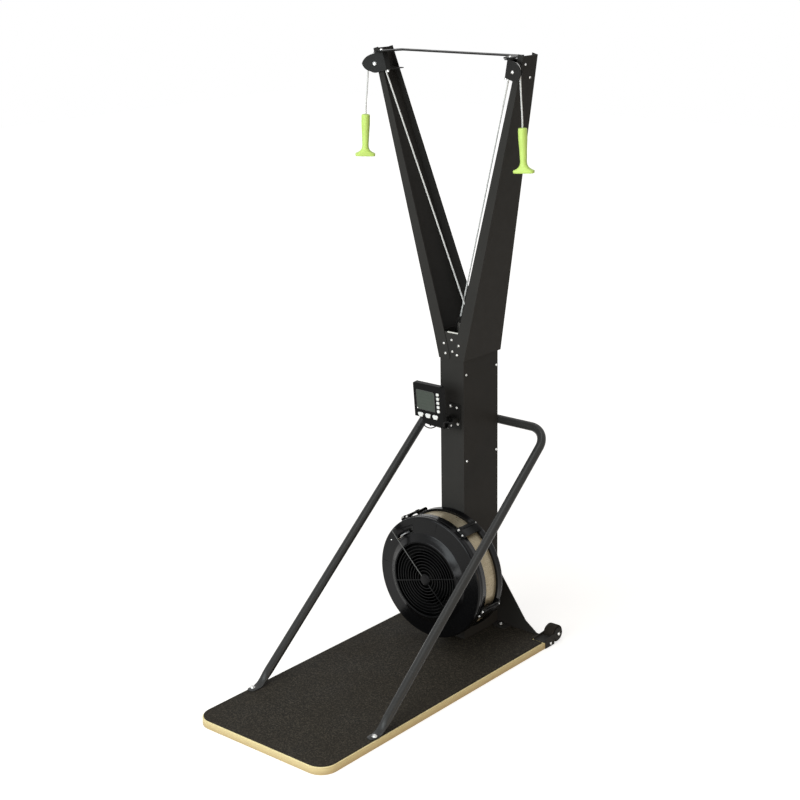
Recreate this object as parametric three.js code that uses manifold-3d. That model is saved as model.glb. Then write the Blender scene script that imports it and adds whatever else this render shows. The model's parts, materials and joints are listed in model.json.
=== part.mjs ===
// Ski trainer: a standing cord-pull exercise machine on a plywood deck.
// Millimetres, +Z up, +X to the user's right, the user stands at -Y and faces +Y.
// Each part is drawn in the deck frame, where Y is zero at the deck's front edge,
// and the whole machine is then moved back by half of its depth.

import * as THREE from 'three';
import { mergeVertices } from 'three/addons/utils/BufferGeometryUtils.js';
import Module from 'manifold-3d';

const wasm = await Module();
wasm.setup();

// Fits
const contactGap = 0.3;
const turningGap = 0.3;
const cutOverrun = 5;

// Deck
const deckWidth = 590;
const deckLength = 1250;
const boardThickness = 28;
const matThickness = 3.5;
const matInset = 5;
const deckFrontRadius = 62;
const deckRearRadius = 14;
const deckTop = boardThickness + matThickness;

// Column
const columnWidth = 105;
const columnDepth = 200;
const columnSheet = 2;
const columnTopZ = 1197;
const columnRearLip = 18;
const columnSetBack = 16;
const columnHalf = columnWidth / 2;
const columnRearY = deckLength - columnSetBack;
const columnFrontY = columnRearY - columnDepth;
const columnInnerHalf = columnHalf - columnSheet;
const columnInnerFrontY = columnFrontY + columnSheet;

// Arms, each a folded channel that is open towards the other arm
const armSheet = 2.5;
const armOverlap = 99;
const armTopZ = 2166;
const armTopHalf = 320;
const armTopForward = 21.4;
const armTopDepth = 80;
const armFootZ = columnTopZ - armOverlap;
const armTopFrontY = columnFrontY - armTopForward;
const armFootDepth = 216;
const armFootFlange = 51;
const armTopFlange = 22;
const armFootCornerRadius = 15;
const armFootHalf = columnHalf + contactGap + armSheet;
const armFootFrontY = columnFrontY - contactGap - armSheet;
const armSlope = (armTopHalf - armFootHalf) / (armTopZ - armFootZ);

// Pulley at the top of each arm
const axleInset = 21;
const axleBelowTop = 50;
const axleForward = 35.3;
const axleHalf = armTopHalf - axleInset;
const axleZ = armTopZ - axleBelowTop;
const axleY = columnFrontY - axleForward;
const pulleyTurn = THREE.MathUtils.degToRad(19.1);
const cordDiameter = 5.5;
const cordSeatGap = 0.5;
const topPitchRadius = 28;
const topPulleyWidth = 14;
const pulleyRim = 1.5;
const pulleyFlangeRise = 3.4;
const pulleySideGap = 1;
const axleRadius = 5;
const axleHeadRadius = 8;
const axleHeadHeight = 5;

// Bracket that carries the pulley
const bracketSheet = 3;
const foldReach = 40;
const earReach = 47;
const earTop = 38;
const earBottom = 28;
const foldDrop = 21;
const bracketTabSetBack = 6;
const braceTabLength = 46;
const braceTabWidth = 26;

// Brace between the two brackets
const braceBendInset = 52;
const braceEndInset = 26;
const braceWidth = 32;
const braceThickness = 5;
const braceSetBack = 46;
const braceEndForward = 44;
const braceHalfSpan = axleHalf - braceBendInset;
const braceEndHalf = axleHalf - braceEndInset;
const braceY = columnFrontY + braceSetBack;
const braceEndY = columnFrontY - braceEndForward;

// Handle and the free cord over it
const handleOutset = 39;
const handleForward = 12.7;
const freeCordDrop = 175;
const handleLength = 146;
const handleGripRadius = 15;
const handleWaistRadius = 11.5;
const handleFootHalf = 35;
const handleFootDepth = 15;
const handleFootPlate = 9;
const handleFlare = 30;
const handleTurns = {
  right: THREE.MathUtils.degToRad(18.5),
  left: THREE.MathUtils.degToRad(-40.5),
};
const handleHalf = axleHalf + handleOutset;
const handleY = axleY - handleForward;
const handleTopZ = axleZ - freeCordDrop;
const handleLean = THREE.MathUtils.degToRad(2.5);

// Guide pulleys in the top of the column
const guideAboveColumn = 7;
const guideZ = columnTopZ + guideAboveColumn;
const guidePitchRadius = 34;
const guideWidth = 13;
const guideSpacing = 14;
const guideAxleRadius = 5;
const guideSheet = 3;
const guideFootDrop = 94;
const guideFootZ = guideZ - guideFootDrop;
const guideHalf = 22;
const guideBaseHalf = 48;

// Drive, inside the column
const fanZ = 311;
const shaftRadius = 8;
const shaftForward = 129;
const shaftFrontY = columnFrontY - shaftForward;
const drumPitchRadius = 32;
const drumWrap = THREE.MathUtils.degToRad(120);
const returnCordDiameter = 8;
const returnCordTopX = -43;
const bearingRadius = 30;
const bearingFlangeRadius = 42;
const bearingFlange = 4;
const bearingLength = 16;
const carrierHeight = 70;
const carrierThickness = 12;
const carrierSideGap = 5;

// Fan housing
const fanRadius = 228;
const fanWall = 3;
const fanDepth = 141;
const frontShroudDepth = 42;
const fanRimRound = 7;
const fanRingWidth = 60.5;
const fanRingProud = 6;
const fanConeWidth = 26.5;
const grilleProud = 23;
const fanRingRadius = fanRadius - fanRingWidth;
const grilleRadius = fanRingRadius - fanConeWidth;
const fanFrontRimY = columnFrontY - fanDepth;
const fanFrontBackY = fanFrontRimY + frontShroudDepth;
const fanRingY = fanFrontRimY - fanRingProud;
const grilleY = fanFrontRimY - grilleProud;
const grilleDepth = 5;
const grilleBar = 3;
const grilleHubRadius = 22;
const grilleRings = 9;
const spokeWidth = 4;
const spokeAngles = [15, 135, 195, 315].map(THREE.MathUtils.degToRad);
const ribAngle = spokeAngles[1];
const ribEndInset = 15;
const ribReach = fanRadius - ribEndInset;
const ribHeight = 2.5;
const bandInset = 9.5;
const bandRadius = fanRadius - bandInset;
const bandThickness = 2;
const bandLip = 5;
const rearShroudDepth = 31;
const rearShroudFrontY = columnFrontY - rearShroudDepth;
const damperOverlap = 41;
const damperWidth = 58;
const damperInnerRadius = grilleRadius - damperOverlap;
const damperOuterRadius = damperInnerRadius + damperWidth;
const damperSetBack = 7;
const damperY = fanFrontRimY + damperSetBack;
const damperThickness = 2;
const leverInset = 47;
const leverRadius = fanRadius - leverInset;
const leverWidth = 5;
const leverAngle = THREE.MathUtils.degToRad(126);
const leverHalfAngle = THREE.MathUtils.degToRad(5);
const slotHalfAngle = THREE.MathUtils.degToRad(13.5);
const slotWidth = 7;
const leverProud = 9;
const clampAngles = [57, 123, 202, 338].map(THREE.MathUtils.degToRad);
const clampWidth = 42;
const clampThickness = 9;
const clampLength = 106;
const clampSetBack = 21;
const clampFrontY = fanFrontRimY + clampSetBack;
const clampRearY = clampFrontY + clampLength;
const clampScrewRadius = 5;

// Fan wheel
const fanWheelGap = 23;
const wheelFanRadius = fanRadius - fanWheelGap;
const fanHubRadius = 28;
const fanHubSetBack = 32;
const fanHubLength = 53;
const fanHubFrontY = fanFrontRimY + fanHubSetBack;
const fanDiscY = fanHubFrontY + fanHubLength;
const fanDiscThickness = 5;
const bladeCount = 12;
const bladeLength = 100;
const bladeInnerRadius = wheelFanRadius - bladeLength;
const bladeThickness = 2.5;

// Plate behind the column
const plateThickness = 4;
const plateTopHalf = 66;
const plateTopZ = 235;
const plateKneeReach = 57;
const plateKneeZ = 73;
const plateFootInset = 56;
const plateFootHalf = deckWidth / 2 - plateFootInset;
const plateKneeHalf = plateFootHalf - plateKneeReach;
const tabInnerHalf = 56;
const tabOuterHalf = 116;
const tabLength = 42;
const tabRound = 16;

// Support tube: a leg on each side and a run behind the column
const tubeRadius = 16;
const tubeWall = 2;
const tubeFootInset = 18;
const tubeBendInset = 28;
const tubeFootReach = 963;
const tubeCrossZ = 831;
const tubeFootHalf = deckWidth / 2 - tubeFootInset;
const tubeBendHalf = deckWidth / 2 - tubeBendInset;
const tubeFootY = deckLength - tubeFootReach;
const tubeBendRadius = 78;
const tongueWidth = 38;
const tongueLength = 74;
const tongueThickness = 5;
const saddleWidth = 36;
const saddleHeight = 60;
const saddleWall = 6;

// Transport wheels at the rear corners
const transportRadius = 32;
const transportLift = 2;
const transportBehindDeck = 34;
const transportAxleY = deckLength + transportBehindDeck;
const transportWidth = 41;
const transportPinRadius = 5;
const wheelPlate = 3;
const wheelPlateLength = 54;
const wheelPlateFrontY = deckLength - wheelPlateLength;
const wheelEarRadius = 25;
const wheelUpstand = 6;
const wheelSideGap = 1.2;
const mattCutGap = 6;
const sideTabLength = 46;
const sideTabFrontY = deckLength - sideTabLength;

// Monitor
const caseCentreX = -13.5;
const caseWidth = 128;
const caseHeight = 128;
const caseBottomZ = 908;
const caseChin = 26;
const chinStart = 30;
const chinRun = 8.5;
const chinEnd = 11.5;
const caseForward = 111;
const caseDepth = 18;
const headLean = THREE.MathUtils.degToRad(5);
const caseCorner = 6;
const caseTopZ = caseBottomZ + caseHeight;
const caseFrontY = columnFrontY - caseForward;
const screenWidth = 80;
const screenHeight = 72;
const screenOffsetX = -11;
const screenBelowTop = 62.2;
const screenCentreZ = caseTopZ - screenBelowTop;
const screenDepth = 2;
const buttonGap = 0.4;
const buttonProud = 2.5;
const buttonSunk = 3;
const buttonTravelRoom = 3;
const sideButtonCount = 5;
const sideButtonOffsetX = 45.5;
const sideButtonDrop = 30.5;
const sideButtonPitch = 15.6;
const sideButtonWidth = 12;
const sideButtonHeight = 10.5;
const menuButtonCount = 3;
const menuButtonOffsetX = -4;
const menuButtonRise = 9.8;
const menuButtonPitch = 33;
const menuButtonWidth = 26;
const menuButtonHeight = 16;
const tiltBehindFace = 37;
const tiltBelowCase = 26;
const liftReach = 45;
const liftDrop = 2;
const hingePinRadius = 3;
const tiltBarrelRadius = 8;
const tiltBarrelLength = 57;
const liftBarrelLength = 36;
const armBarThickness = 11;
const knobRadius = 13;
const knobLength = 9;
const knobGap = 1;
const lugThickness = 5;
const lugGap = 0.5;
const lugRadius = 8;
const monitorMountX = 9;
const mountPlateWidth = 64;
const mountPlateHeight = 92;
const mountPlateRise = 11;
const mountPlateSheet = 3;
const cableDiameter = 3.5;
const sideButtonTopZ = caseTopZ - sideButtonDrop;
const menuButtonZ = caseBottomZ + menuButtonRise;
const tiltY = caseFrontY + tiltBehindFace;
const tiltZ = caseBottomZ - tiltBelowCase;
const liftY = tiltY + liftReach;
const liftZ = tiltZ - liftDrop;
const mountPlateZ = liftZ + mountPlateRise;

// Facets
const smallSides = 12;
const wheelSides = 20;
const fanSides = 40;
const ringSides = 20;
const cordSides = 8;
const tubeSides = 10;
const tubeStepShare = 0.5;

// Finishes
const finish = (color, roughness, metalness) => ({ color, roughness, metalness });
const blackPaint = finish(0x2b2a28, 0.55, 0.3);
const greyPaint = finish(0x464644, 0.4, 0.4);
const darkPlastic = finish(0x1d1f23, 0.35, 0.0);
const bandMetal = finish(0xb9b39c, 0.4, 0.6);
const brightSteel = finish(0xc8c8c8, 0.3, 0.9);
const plainSteel = finish(0x8a8a8a, 0.45, 0.8);
const birchPly = finish(0xd8c49a, 0.6, 0.0);
const rubberMat = finish(0x3a3733, 0.9, 0.0);
const limePlastic = finish(0xb9e86a, 0.45, 0.0);
const whiteCord = finish(0xe8e6de, 0.8, 0.0);
const blackRubber = finish(0x1a1a1a, 0.8, 0.0);
const liquidCrystal = finish(0x8a948a, 0.25, 0.0);
const whitePlastic = finish(0xe4e4e0, 0.5, 0.0);

const machine = new THREE.Group();

// Adds one named part to a group, the machine itself unless another is given.
function addPart(name, geometry, look, group = machine) {
  const mesh = new THREE.Mesh(geometry, new THREE.MeshStandardMaterial(look));
  mesh.name = name;
  group.add(mesh);
  return mesh;
}

// Turns a closed geometry into a solid that can be joined and cut.
function solidFrom(geometry) {
  const bare = geometry.clone();
  bare.deleteAttribute('normal');
  bare.deleteAttribute('uv');
  const merged = mergeVertices(bare, 1e-4);
  return new wasm.Manifold(
    new wasm.Mesh({
      numProp: 3,
      vertProperties: new Float32Array(merged.attributes.position.array),
      triVerts: new Uint32Array(merged.index.array),
    }),
  );
}

// Turns a solid back into a geometry.
function geometryFrom(solid) {
  const mesh = solid.getMesh();
  const geometry = new THREE.BufferGeometry();
  geometry.setAttribute('position', new THREE.BufferAttribute(mesh.vertProperties, 3));
  geometry.setIndex(new THREE.BufferAttribute(mesh.triVerts, 1));
  geometry.computeVertexNormals();
  return geometry;
}

// Joins overlapping closed geometries into one body.
function join(...geometries) {
  const [first, ...others] = geometries.map(solidFrom);
  return geometryFrom(others.reduce((sum, next) => sum.add(next), first));
}

// Cuts every tool geometry out of a body.
function cut(body, ...tools) {
  const start = solidFrom(body);
  return geometryFrom(tools.map(solidFrom).reduce((rest, tool) => rest.subtract(tool), start));
}

// A box between two corners.
function boxBetween(x0, x1, y0, y1, z0, z1) {
  const box = new THREE.BoxGeometry(x1 - x0, y1 - y0, z1 - z0);
  return box.translate((x0 + x1) / 2, (y0 + y1) / 2, (z0 + z1) / 2);
}

// A round bar along Y, from y0 to y1.
function barAlongY(radius, x, z, y0, y1, sides = smallSides) {
  const bar = new THREE.CylinderGeometry(radius, radius, y1 - y0, sides);
  return bar.translate(x, (y0 + y1) / 2, z);
}

// A round bar along X, from x0 to x1.
function barAlongX(radius, y, z, x0, x1, sides = smallSides) {
  const bar = new THREE.CylinderGeometry(radius, radius, x1 - x0, sides);
  return bar.rotateZ(-Math.PI / 2).translate((x0 + x1) / 2, y, z);
}

// A plate whose outline lies in X and Z, from y0 to y1.
function plateAcross(shape, y0, y1, curveSegments = 6) {
  const options = { depth: y1 - y0, bevelEnabled: false, curveSegments };
  return new THREE.ExtrudeGeometry(shape, options).rotateX(Math.PI / 2).translate(0, y1, 0);
}

// A plate whose outline lies in Y and Z, from x0 to x1.
function plateAlong(shape, x0, x1, curveSegments = 6) {
  const options = { depth: x1 - x0, bevelEnabled: false, curveSegments };
  const turn = new THREE.Matrix4().makeBasis(
    new THREE.Vector3(0, 1, 0),
    new THREE.Vector3(0, 0, 1),
    new THREE.Vector3(1, 0, 0),
  );
  return new THREE.ExtrudeGeometry(shape, options).applyMatrix4(turn).translate(x0, 0, 0);
}

// A level plate whose outline lies in X and Y, from z0 to z1.
function levelPlate(shape, z0, z1, curveSegments = 8) {
  const options = { depth: z1 - z0, bevelEnabled: false, curveSegments };
  return new THREE.ExtrudeGeometry(shape, options).translate(0, 0, z0);
}

// A turned part about the Y axis; the profile is a closed loop of [radius, y] pairs.
function turned(profile, sides) {
  const points = profile.map(([radius, y]) => new THREE.Vector2(radius, y));
  if (THREE.ShapeUtils.area(points) < 0) points.reverse();
  points.push(points[0].clone());
  return new THREE.LatheGeometry(points, sides);
}

// A body stretched between rings that all have the same number of corners.
function loft(rings) {
  const corners = rings[0].length;
  const vertices = rings.flat().flatMap((p) => [p.x, p.y, p.z]);
  const faces = [];
  for (let k = 0; k + 1 < rings.length; k += 1) {
    for (let i = 0; i < corners; i += 1) {
      const a = k * corners + i;
      const b = k * corners + ((i + 1) % corners);
      faces.push(a, b, b + corners, a, b + corners, a + corners);
    }
  }
  const last = (rings.length - 1) * corners;
  for (let i = 1; i + 1 < corners; i += 1) {
    faces.push(0, i + 1, i);
    faces.push(last, last + i, last + i + 1);
  }
  const geometry = new THREE.BufferGeometry();
  geometry.setAttribute('position', new THREE.Float32BufferAttribute(vertices, 3));
  geometry.setIndex(faces);
  geometry.computeVertexNormals();
  return geometry;
}

// The four corners of a level rectangle, counter-clockwise from above.
function levelCorners(x0, x1, y0, y1, z) {
  return [
    new THREE.Vector3(x0, y0, z),
    new THREE.Vector3(x1, y0, z),
    new THREE.Vector3(x1, y1, z),
    new THREE.Vector3(x0, y1, z),
  ];
}

// A path that visits its stations evenly, however far apart they are.
class StationPath extends THREE.Curve {
  constructor(stations) {
    super();
    this.stations = stations;
  }

  getPointAt(share, target = new THREE.Vector3()) {
    const last = this.stations.length - 1;
    return target.copy(this.stations[Math.round(share * last)]);
  }

  getTangentAt(share, target = new THREE.Vector3()) {
    const last = this.stations.length - 1;
    const index = Math.round(share * last);
    const before = this.stations[Math.max(index - 1, 0)];
    const after = this.stations[Math.min(index + 1, last)];
    return target.subVectors(after, before).normalize();
  }
}

// A regular outline for the section of a bar or cord.
function roundSection(radius, sides) {
  const points = Array.from({ length: sides }, (_, i) => {
    const angle = (2 * Math.PI * i) / sides;
    return new THREE.Vector2(radius * Math.cos(angle), radius * Math.sin(angle));
  });
  return new THREE.Shape(points);
}

// A bar of round section that runs through a list of stations.
function barThrough(stations, radius, sides) {
  return new THREE.ExtrudeGeometry(roundSection(radius, sides), {
    steps: stations.length - 1,
    extrudePath: new StationPath(stations),
  });
}

// Points on an arc in the plane of two unit vectors, both ends included.
function arcPoints(centre, radius, across, up, from, to, steps) {
  return Array.from({ length: steps + 1 }, (_, i) => {
    const angle = from + ((to - from) * i) / steps;
    return centre
      .clone()
      .addScaledVector(across, radius * Math.cos(angle))
      .addScaledVector(up, radius * Math.sin(angle));
  });
}

// A rectangle outline with its own radius at the low and at the high corners.
function roundedRectangle(x0, x1, y0, y1, lowRadius, highRadius = lowRadius) {
  const shape = new THREE.Shape();
  shape.moveTo(x0 + lowRadius, y0);
  shape.lineTo(x1 - lowRadius, y0);
  shape.absarc(x1 - lowRadius, y0 + lowRadius, lowRadius, -Math.PI / 2, 0);
  shape.lineTo(x1, y1 - highRadius);
  shape.absarc(x1 - highRadius, y1 - highRadius, highRadius, 0, Math.PI / 2);
  shape.lineTo(x0 + highRadius, y1);
  shape.absarc(x0 + highRadius, y1 - highRadius, highRadius, Math.PI / 2, Math.PI);
  shape.lineTo(x0, y0 + lowRadius);
  shape.absarc(x0 + lowRadius, y0 + lowRadius, lowRadius, Math.PI, Math.PI * 1.5);
  return shape;
}

// A polygon outline from [x, y] pairs.
function polygon(pairs) {
  return new THREE.Shape(pairs.map(([x, y]) => new THREE.Vector2(x, y)));
}

// Left and right halves: the left one is the mirror of the right one
const rightSide = new THREE.Group();
const leftSide = new THREE.Group();
leftSide.scale.x = -1;
machine.add(rightSide, leftSide);
const sides = [
  ['right', rightSide, 1],
  ['left', leftSide, -1],
];

// Deck
function deckBoard() {
  const half = deckWidth / 2;
  const outline = roundedRectangle(-half, half, 0, deckLength, deckFrontRadius, deckRearRadius);
  return levelPlate(outline, 0, boardThickness);
}

function deckMat() {
  const half = deckWidth / 2 - matInset;
  const front = deckFrontRadius - matInset;
  const rear = deckRearRadius - matInset;
  const outline = roundedRectangle(-half, half, matInset, deckLength - matInset, front, rear);
  const mat = levelPlate(outline, boardThickness, deckTop);
  const innerHalf = wheelInnerX() - wheelPlate - mattCutGap;
  const notch = (x0, x1) =>
    boxBetween(x0, x1, wheelPlateFrontY - mattCutGap, deckLength, boardThickness - cutOverrun,
      deckTop + cutOverrun);
  return cut(mat, notch(innerHalf, deckWidth), notch(-deckWidth, -innerHalf));
}

// Column
function columnShell() {
  const lip = columnHalf - columnRearLip;
  const rear = columnRearY - columnSheet - contactGap;
  const outline = polygon([
    [-columnHalf, columnFrontY],
    [columnHalf, columnFrontY],
    [columnHalf, rear],
    [lip, rear],
    [lip, rear - columnSheet],
    [columnInnerHalf, rear - columnSheet],
    [columnInnerHalf, columnInnerFrontY],
    [-columnInnerHalf, columnInnerFrontY],
    [-columnInnerHalf, rear - columnSheet],
    [-lip, rear - columnSheet],
    [-lip, rear],
    [-columnHalf, rear],
  ]);
  const shell = levelPlate(outline, deckTop, columnTopZ);
  const bore = bearingRadius + contactGap;
  const hole = barAlongY(bore, 0, fanZ, columnFrontY - cutOverrun, columnInnerFrontY + cutOverrun,
    wheelSides);
  return cut(shell, hole);
}

function columnBackCover() {
  return boxBetween(-columnHalf, columnHalf, columnRearY - columnSheet, columnRearY, deckTop,
    columnTopZ);
}

// Plate behind the column, with a foot tab on each side
function rearPlate() {
  const y0 = columnRearY + contactGap;
  const outline = polygon([
    [-plateFootHalf, deckTop],
    [plateFootHalf, deckTop],
    [plateKneeHalf, plateKneeZ],
    [plateTopHalf, plateTopZ],
    [-plateTopHalf, plateTopZ],
    [-plateKneeHalf, plateKneeZ],
  ]);
  const upright = plateAcross(outline, y0, y0 + plateThickness);
  const tab = (x0, x1) => {
    const foot = roundedRectangle(x0, x1, y0 - tabLength, y0 + plateThickness / 2, tabRound, 0.01);
    return levelPlate(foot, deckTop, deckTop + plateThickness);
  };
  return join(upright, tab(tabInnerHalf, tabOuterHalf), tab(-tabOuterHalf, -tabInnerHalf));
}

// Arm sizes along its height
const mix = (from, to, share) => from + (to - from) * share;
const armShareAt = (z) => (z - armFootZ) / (armTopZ - armFootZ);
const armHalfAt = (z) => armFootHalf + (z - armFootZ) * armSlope;
const armFlangeAt = (z) => mix(armFootFlange, armTopFlange, armShareAt(z));
const armDepthAt = (z) => mix(armFootDepth, armTopDepth, armShareAt(z));
const armFrontAt = (z) => {
  const share = Math.max(0, (z - columnTopZ) / (armTopZ - columnTopZ));
  return mix(armFootFrontY, armTopFrontY, share);
};
const armRearAt = (z) => {
  const foot = armFootFrontY + armFootDepth;
  return mix(foot, armTopFrontY + armTopDepth, armShareAt(z));
};

// Corners of one level of the arm, between edges that are functions of the height. The top
// is cut square to the arm, so there each corner rises by its distance from the outer face.
const armRings = (inner, outer, front, rear) => (z, isTop = false) => {
  const edges = [[inner, front], [outer, front], [outer, rear], [inner, rear]];
  return edges.map(([xAt, yAt]) => {
    const level = z + (isTop ? (armTopHalf - xAt(z)) * armSlope : 0);
    return new THREE.Vector3(xAt(level), yAt(level), level);
  });
};

const webInner = (z) => armHalfAt(z) - armSheet;
const flangeInner = (z) => armHalfAt(z) - armFlangeAt(z);
const frontInside = (z) => armFrontAt(z) + armSheet;
const rearInside = (z) => armRearAt(z) - armSheet;

function armBody() {
  const halfSheet = armSheet / 2;
  const webFront = (z) => armFrontAt(z) + halfSheet;
  const webRear = (z) => armRearAt(z) - halfSheet;
  const webRing = armRings(webInner, armHalfAt, webFront, webRear);
  const web = loft([webRing(armFootZ), webRing(columnTopZ), webRing(armTopZ, true)]);
  const frontRing = armRings(flangeInner, armHalfAt, armFrontAt, frontInside);
  const frontFlange = loft([frontRing(columnTopZ), frontRing(armTopZ, true)]);
  const rearRing = armRings(flangeInner, armHalfAt, rearInside, armRearAt);
  const rearFootZ = columnTopZ + armFootCornerRadius;
  const rearFlange = loft([rearRing(rearFootZ), rearRing(armTopZ, true)]);
  const edgeRing = armRings(webInner, armHalfAt, rearInside, armRearAt);
  const rearEdge = loft([edgeRing(armFootZ), edgeRing(rearFootZ)]);
  return join(web, frontFlange, armFoot(), rearFlange, rearEdge);
}

// The flat foot of the arm's front flange, on the face of the column.
function armFoot() {
  const low = flangeInner(armFootZ);
  const roundTop = armFootZ + armFootCornerRadius;
  const shape = new THREE.Shape();
  shape.moveTo(low + armFootCornerRadius, armFootZ);
  shape.lineTo(armFootHalf, armFootZ);
  shape.lineTo(armHalfAt(columnTopZ), columnTopZ);
  shape.lineTo(flangeInner(columnTopZ), columnTopZ);
  shape.lineTo(flangeInner(roundTop), roundTop);
  shape.quadraticCurveTo(low, armFootZ, low + armFootCornerRadius, armFootZ);
  return plateAcross(shape, armFootFrontY, armFootFrontY + armSheet);
}

// Pulley bracket, drawn about the axle; across is outwards along the turned cheek
const cheekBack = -(topPulleyWidth / 2 + pulleySideGap);
const cheekFront = cheekBack - bracketSheet;
const across = new THREE.Vector3(Math.cos(pulleyTurn), -Math.sin(pulleyTurn), 0);
const through = new THREE.Vector3(Math.sin(pulleyTurn), Math.cos(pulleyTurn), 0);
const upward = new THREE.Vector3(0, 0, 1);
const axleCentre = new THREE.Vector3(axleHalf, axleY, axleZ);
const fromAxle = (outwards, back, up) =>
  axleCentre
    .clone()
    .addScaledVector(across, outwards)
    .addScaledVector(through, back)
    .addScaledVector(upward, up);

// Places a geometry that was drawn about the axle in its own upright frame.
function atAxle(geometry) {
  const frame = new THREE.Matrix4().makeBasis(across, through, upward).setPosition(axleCentre);
  return geometry.applyMatrix4(frame);
}

const foldAt = (up) => -foldReach + up * armSlope;
const earRootShare = 0.25;
const earShoulderShare = 0.8;

function cheekOutline() {
  const shape = new THREE.Shape();
  shape.moveTo(foldAt(-foldDrop), -foldDrop);
  shape.quadraticCurveTo(-earReach * earRootShare, -earBottom, 0, -earBottom);
  shape.quadraticCurveTo(earReach * earShoulderShare, -earBottom, earReach, 0);
  shape.quadraticCurveTo(earReach * earShoulderShare, earTop * earShoulderShare,
    -earReach * earRootShare, earTop);
  shape.lineTo(foldAt(earTop), earTop);
  return shape;
}

function pulleyBracket() {
  const cheek = atAxle(plateAcross(cheekOutline(), cheekFront, cheekBack));
  const foldCorner = fromAxle(-foldReach, (cheekFront + cheekBack) / 2, 0);
  const foldX = (z) => foldCorner.x + (z - axleZ) * armSlope;
  const low = axleZ - foldDrop;
  const high = axleZ + earTop + bracketSheet;
  const tabY = (z) => frontInside(z) + bracketTabSetBack;
  const sideRing = (z) =>
    levelCorners(foldX(z), foldX(z) + bracketSheet, foldCorner.y, tabY(z) + bracketSheet, z);
  const sidePlate = loft([sideRing(low), sideRing(high - bracketSheet / 2)]);
  const tabRing = (z) =>
    levelCorners(foldX(z) + bracketSheet / 2, webInner(z) - contactGap, tabY(z),
      tabY(z) + bracketSheet, z);
  const innerTab = loft([tabRing(low), tabRing(high - bracketSheet)]);
  const lip = boxBetween(foldX(low) + bracketSheet / 2, webInner(low) - contactGap, tabY(low),
    armRearAt(axleZ) - armSheet - pulleySideGap, low, low + bracketSheet);
  const braceTab = boxBetween(foldX(high), foldX(high) + braceTabWidth - bracketSheet,
    foldCorner.y - braceTabLength / 2, foldCorner.y + braceTabLength / 2,
    high - bracketSheet, high);
  const bore = atAxle(barAlongY(axleRadius + contactGap, 0, 0, cheekFront - cutOverrun,
    cheekBack + cutOverrun));
  return cut(join(cheek, sidePlate, innerTab, lip, braceTab), bore);
}

function pulleyAxle() {
  const backRoom = axleRadius * Math.sin(pulleyTurn) + contactGap;
  const tail = (armFrontAt(axleZ) - axleY - backRoom) / Math.cos(pulleyTurn);
  const shank = barAlongY(axleRadius, 0, 0, cheekFront - axleHeadHeight / 2, tail);
  const head = barAlongY(axleHeadRadius, 0, 0, cheekFront - contactGap - axleHeadHeight,
    cheekFront - contactGap);
  return atAxle(join(shank, head));
}

// A grooved pulley about Y for the cord at a given pitch radius.
function groovedPulley(pitchRadius, width, boreRadius, cordRadius = cordDiameter / 2) {
  const groove = pitchRadius - cordRadius - cordSeatGap;
  const rim = pitchRadius + pulleyFlangeRise;
  const half = width / 2;
  const floorHalf = cordRadius + cordSeatGap;
  return turned(
    [
      [boreRadius, -half],
      [rim, -half],
      [rim, pulleyRim - half],
      [groove, -floorHalf],
      [groove, floorHalf],
      [rim, half - pulleyRim],
      [rim, half],
      [boreRadius, half],
    ],
    wheelSides,
  );
}

// Cord route from the top pulley to the drum
const guideMiddleY = axleY + (axleHalf + guidePitchRadius) * Math.tan(pulleyTurn);
const guideYFor = (side) => guideMiddleY + (side * guideSpacing) / 2;
const arcStep = THREE.MathUtils.degToRad(10);
const bend = (from, to) => Math.max(2, Math.ceil(Math.abs(to - from) / arcStep));
const straightRuns = 4;

// Points between two places, the ends left out.
function between(from, to, pieces) {
  const steps = Array.from({ length: pieces - 1 }, (_, i) => (i + 1) / pieces);
  return steps.map((share) => from.clone().lerp(to, share));
}

// The tangent angles of the cord at the top pulley and at the guide pulley.
function cordAngles(side) {
  let guideAngle = Math.atan(1 / 3);
  let topAngle = guideAngle;
  for (let i = 0; i < 8; i += 1) {
    const reach = (axleHalf + guidePitchRadius * Math.cos(guideAngle)) / Math.cos(pulleyTurn);
    const drop = axleZ - guideZ - guidePitchRadius * Math.sin(guideAngle);
    topAngle = Math.atan2(reach, drop) - Math.asin(topPitchRadius / Math.hypot(reach, drop));
    guideAngle = Math.atan(Math.tan(topAngle) * Math.cos(pulleyTurn));
  }
  const sum = drumPitchRadius + side * guidePitchRadius;
  const dropAngle = Math.asin(sum / (guideZ - fanZ));
  return { topAngle, guideAngle, dropAngle };
}

// The whole held cord of one side; side is 1 for the right cord and -1 for the left one.
function driveCordStations(side) {
  const { topAngle, guideAngle, dropAngle } = cordAngles(side);
  const outward = new THREE.Vector3(side * across.x, across.y, 0);
  const top = new THREE.Vector3(side * axleHalf, axleY, axleZ);
  const y = guideYFor(side);
  const guide = new THREE.Vector3(0, y, guideZ);
  const drum = new THREE.Vector3(0, y, fanZ);
  const right = new THREE.Vector3(1, 0, 0);
  const overTop = arcPoints(top, topPitchRadius, outward, upward, 0, Math.PI - topAngle,
    bend(0, Math.PI - topAngle));
  const guideFrom = side > 0 ? Math.PI - guideAngle : guideAngle;
  const guideTo = side > 0 ? Math.PI + dropAngle : dropAngle;
  const roundGuide = arcPoints(guide, guidePitchRadius, right, upward, guideFrom, guideTo,
    bend(guideFrom, guideTo));
  const onDrum = arcPoints(drum, drumPitchRadius, right, upward, dropAngle,
    dropAngle - drumWrap, bend(0, drumWrap));
  return [
    ...overTop,
    ...between(overTop.at(-1), roundGuide[0], straightRuns),
    ...roundGuide,
    ...between(roundGuide.at(-1), onDrum[0], straightRuns),
    ...onDrum,
  ];
}

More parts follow.
